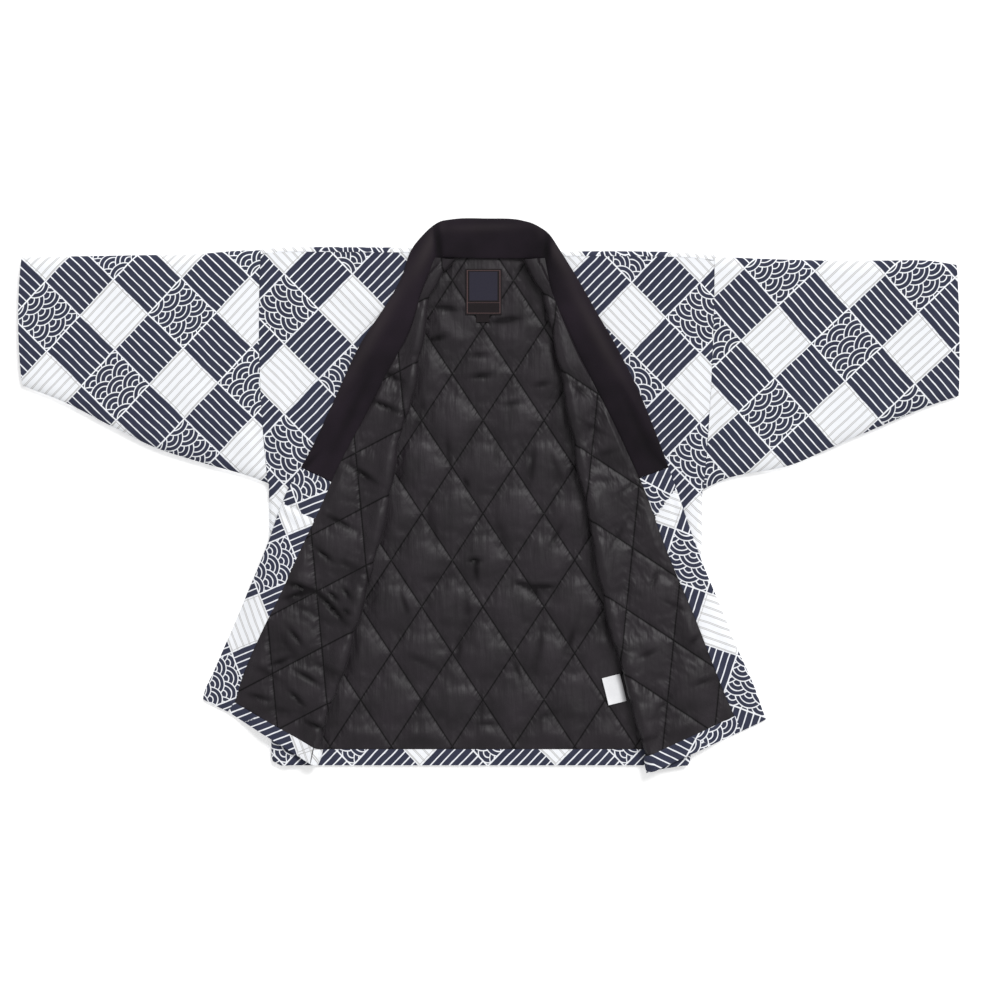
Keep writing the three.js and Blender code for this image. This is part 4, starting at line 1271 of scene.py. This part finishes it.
def collarCover():
    runs = {}
    for key, side in sides.items():
        rows = frontRows(side, collarGrid["rows"])
        end = rowAt(side, seamAt, side["coverEnd"])
        runs[key] = sideStations(side, [*rows[rows < end - collarGrid["closest"]], end], cloth["cover"])
    middle = []
    for at in np.linspace(neckStations[0][0], neckStations[-1][0], collarGrid["neck"] + 1):
        seamY, edgeX, edgeY, lowSeam, lowEdge = (float(between(neckStations, 0, k, at)) for k in range(1, 6))
        seam, edge = np.array([float(at), seamY]), np.array([edgeX, edgeY])
        middle.append(bandRing(None, seam, edge, cloth["cover"], lowSeam, lowEdge))
    rings = [*runs["left"][::-1], *middle, *runs["right"]]
    piece = bandMesh("collarCover", rings, collarCloth, None)
    crease(piece, collarCreases)
    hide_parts("collar_cover")


def collarBand(name, side):
    rows = frontRows(side, collarGrid["rows"])
    start = rowAt(side, seamAt, side["coverEnd"] - 2 * cloth["gap"])
    rings = sideStations(side, [start, *rows[rows > start + collarGrid["closest"]]], cloth["band"])
    piece = bandMesh(f"collarBand_{name}", rings, printCotton, name)
    crease(piece, bandCreases)
    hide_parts(f"collar_band_{name}")


# Sleeves
sleeveGrid = {"along": 90, "across": 60, "round": 16, "fold": 22.0, "foldsFrom": 0.06, "under": 0.6}


def sleeve(name, side):
    along = np.linspace(0, 1, sleeveGrid["along"] + 1)[:, None]
    top, bottom, height = (between(side["sleeve"], 0, k, along) for k in (1, 2, 3))
    flat = np.linspace(0, 1, sleeveGrid["across"] + 1)
    angle = (np.linspace(0, 1, sleeveGrid["round"] + 1)[1:-1] - 0.5) * np.pi
    c, s = np.cos(angle), np.sin(angle)
    half = angle.size // 2
    cuff, rounding = side["cuff"], sleeveGrid["fold"]

    # Around the tube from the bottom fold: over it to the top fold, and back underneath
    def ring(inset):
        level, wide, tall = height / 2, rounding - inset, height / 2 - inset
        up = mix(bottom + rounding, top - rounding, flat)
        lowFold, topFold = bottom + inset + wide * (1 - c), top - inset - wide * (1 - c[::-1])
        y = np.concatenate([lowFold[:, half:], up, topFold, up[:, ::-1], lowFold[:, :half]], 1)
        lowZ, topZ, flatZ = level + tall * s, level + tall * s[::-1], 0 * up
        z = [lowZ[:, half:], level + tall + flatZ, topZ, level - tall + flatZ, lowZ[:, :half]]
        z = np.concatenate(z, 1)
        down = (top - y) / (top - bottom)
        cuffX = mix(cuff["top"], cuff["bottom"], down) + 4 * cuff["bow"] * down * (1 - down)
        x = mix(armholeX(side, y), cuffX, along)
        over = smooth(0.35, 0.9, (z - level) / tall)
        under = smooth(-0.35, -0.9, (z - level) / tall)
        folds = foldsAt(side["folds"], x, y) * smooth(0, sleeveGrid["foldsFrom"], along)
        lift = folds * over + np.maximum(0, -folds) * sleeveGrid["under"] * under
        return np.stack([x, y, z + lift], -1)

    outer, inner = ring(0), ring(cloth["sleeve"])
    rings = mirrored(side, np.concatenate([outer, inner[::-1]]))
    quads = ringFaces(*rings.shape[:2])[1]
    # One piece of cloth round the tube, its seam at the bottom fold, measured along its surface
    steps = length(outer[:, 1:, 1:] - outer[:, :-1, 1:])
    measured = np.concatenate([0 * top, np.cumsum(steps, 1)], 1)
    first = angle.size - half
    cutY = bottom + rounding + measured - measured[:, first:first + 1]
    cut = np.stack([outer[..., 0] * side["sign"], cutY], -1)
    coords = squareCoords(np.concatenate([cut, cut[::-1]]).reshape(-1, 2), f"sleeve_{name}")
    row = np.arange(len(rings))
    lined = np.repeat((row > sleeveGrid["along"]) & (row < len(rings) - 1), rings.shape[1]).astype(int)
    points, faces, maps = rings.reshape(-1, 3), quads.reshape(-1, 4), {"fabric": coords, "quilt": coords}
    cloths = [printCotton, quiltedSatin]
    piece = makeCloth(f"sleeve_{name}_cloth", points, faces, maps, cloths, lined)
    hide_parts(f"sleeve_{name}")


# Labels
def makeLabel(key, node, material):
    label = labels[key]
    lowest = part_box(node)[0]
    bpy.ops.mesh.primitive_grid_add(x_subdivisions=24, y_subdivisions=32, size=1)
    piece = bpy.context.active_object
    piece.name = f"{key}Label"
    size = (label["width"] * 0.001, label["height"] * 0.001)
    piece.dimensions = (*size, 0)
    piece.rotation_euler.z = math.radians(label["turn"])
    piece.location = (label["x"] * 0.001, label["y"] * 0.001, lowest[2])
    bpy.ops.object.transform_apply(location=False, rotation=False, scale=True)
    # Its sides and its lower corners stand a little off the lining
    for vertex in piece.data.vertices:
        across, down = 2000 * vertex.co.x / label["width"], -2000 * vertex.co.y / label["height"]
        lift = abs(across) ** 3 * (0.5 + 0.5 * max(0, down)) + 0.3 * math.sin(3 * across + 2 * down)
        vertex.co.z += 0.001 * label["curl"] * max(0, lift)
    bpy.ops.object.transform_apply(location=True, rotation=True, scale=False)
    modifier = piece.modifiers.new("wall", "SOLIDIFY")
    modifier.thickness = label["wall"] * 0.001
    modifier.offset = 1
    bpy.ops.object.modifier_apply(modifier="wall")
    piece.data.materials.append(material)
    piece.select_set(False)
    bpy.ops.object.select_all(action="DESELECT")
    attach(piece, "root")
    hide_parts(node)


backShell()
backLining()
backHemStrip()
collarCover()
for name, side in sides.items():
    frontShell(name, side)
    relief = flapRelief(name, side)
    frontLining(name, side, relief)
    frontHemStrip(name, side, relief)
    collarBand(name, side)
    sleeve(name, side)
makeLabel("neck", "neck_label", labelWeave)
makeLabel("size", "size_tab", labelWeave)
makeLabel("care", "care_label", whiteTape)
print("pieces made")

# Studio
studio = {
    "cameraX": 0.0030,
    "cameraY": 0.0063,
    "framed": 1.4126,
    "distance": 5.0,
    "sensor": 36.0,
    "sky": 0.57,
    "sun": 2.05,
    "sunAngle": 26.0,
    "sunTilt": (-35.0, 25.0),
    "floorGlow": 0.35,
    "floorWhite": 0.97,
    "floorSize": 12,
    "floorZ": -0.0002,
}


def makeStudio():
    bpy.ops.mesh.primitive_plane_add(size=studio["floorSize"], location=(0, 0, studio["floorZ"]))
    floor = bpy.context.active_object
    floor.name = "floor"
    material, _, shader = newMaterial("floorPaper", 0.9, 0.2, 0.0, 0.5)
    shader.inputs["Base Color"].default_value = (*[studio["floorWhite"]] * 3, 1)
    shader.inputs["Emission Color"].default_value = (1, 1, 1, 1)
    shader.inputs["Emission Strength"].default_value = studio["floorGlow"]
    floor.data.materials.append(material)
    world = bpy.data.worlds.new("studioWorld")
    world.use_nodes = True
    sky = world.node_tree.nodes["Background"]
    sky.inputs["Color"].default_value = (1, 1, 1, 1)
    sky.inputs["Strength"].default_value = studio["sky"]
    bpy.context.scene.world = world
    tiltX, tiltY = (math.radians(a) for a in studio["sunTilt"])
    bpy.ops.object.light_add(type="SUN", rotation=(tiltX, tiltY, 0))
    sun = bpy.context.active_object
    sun.data.energy = studio["sun"]
    sun.data.angle = math.radians(studio["sunAngle"])
    bpy.ops.object.camera_add(location=(studio["cameraX"], studio["cameraY"], studio["distance"]))
    camera = bpy.context.active_object
    camera.data.sensor_width = studio["sensor"]
    camera.data.lens = studio["sensor"] * studio["distance"] / studio["framed"]
    camera.data.clip_end = 60
    bpy.context.scene.camera = camera
    bpy.context.scene.view_settings.view_transform = "Standard"


makeStudio()
print("scene finished")
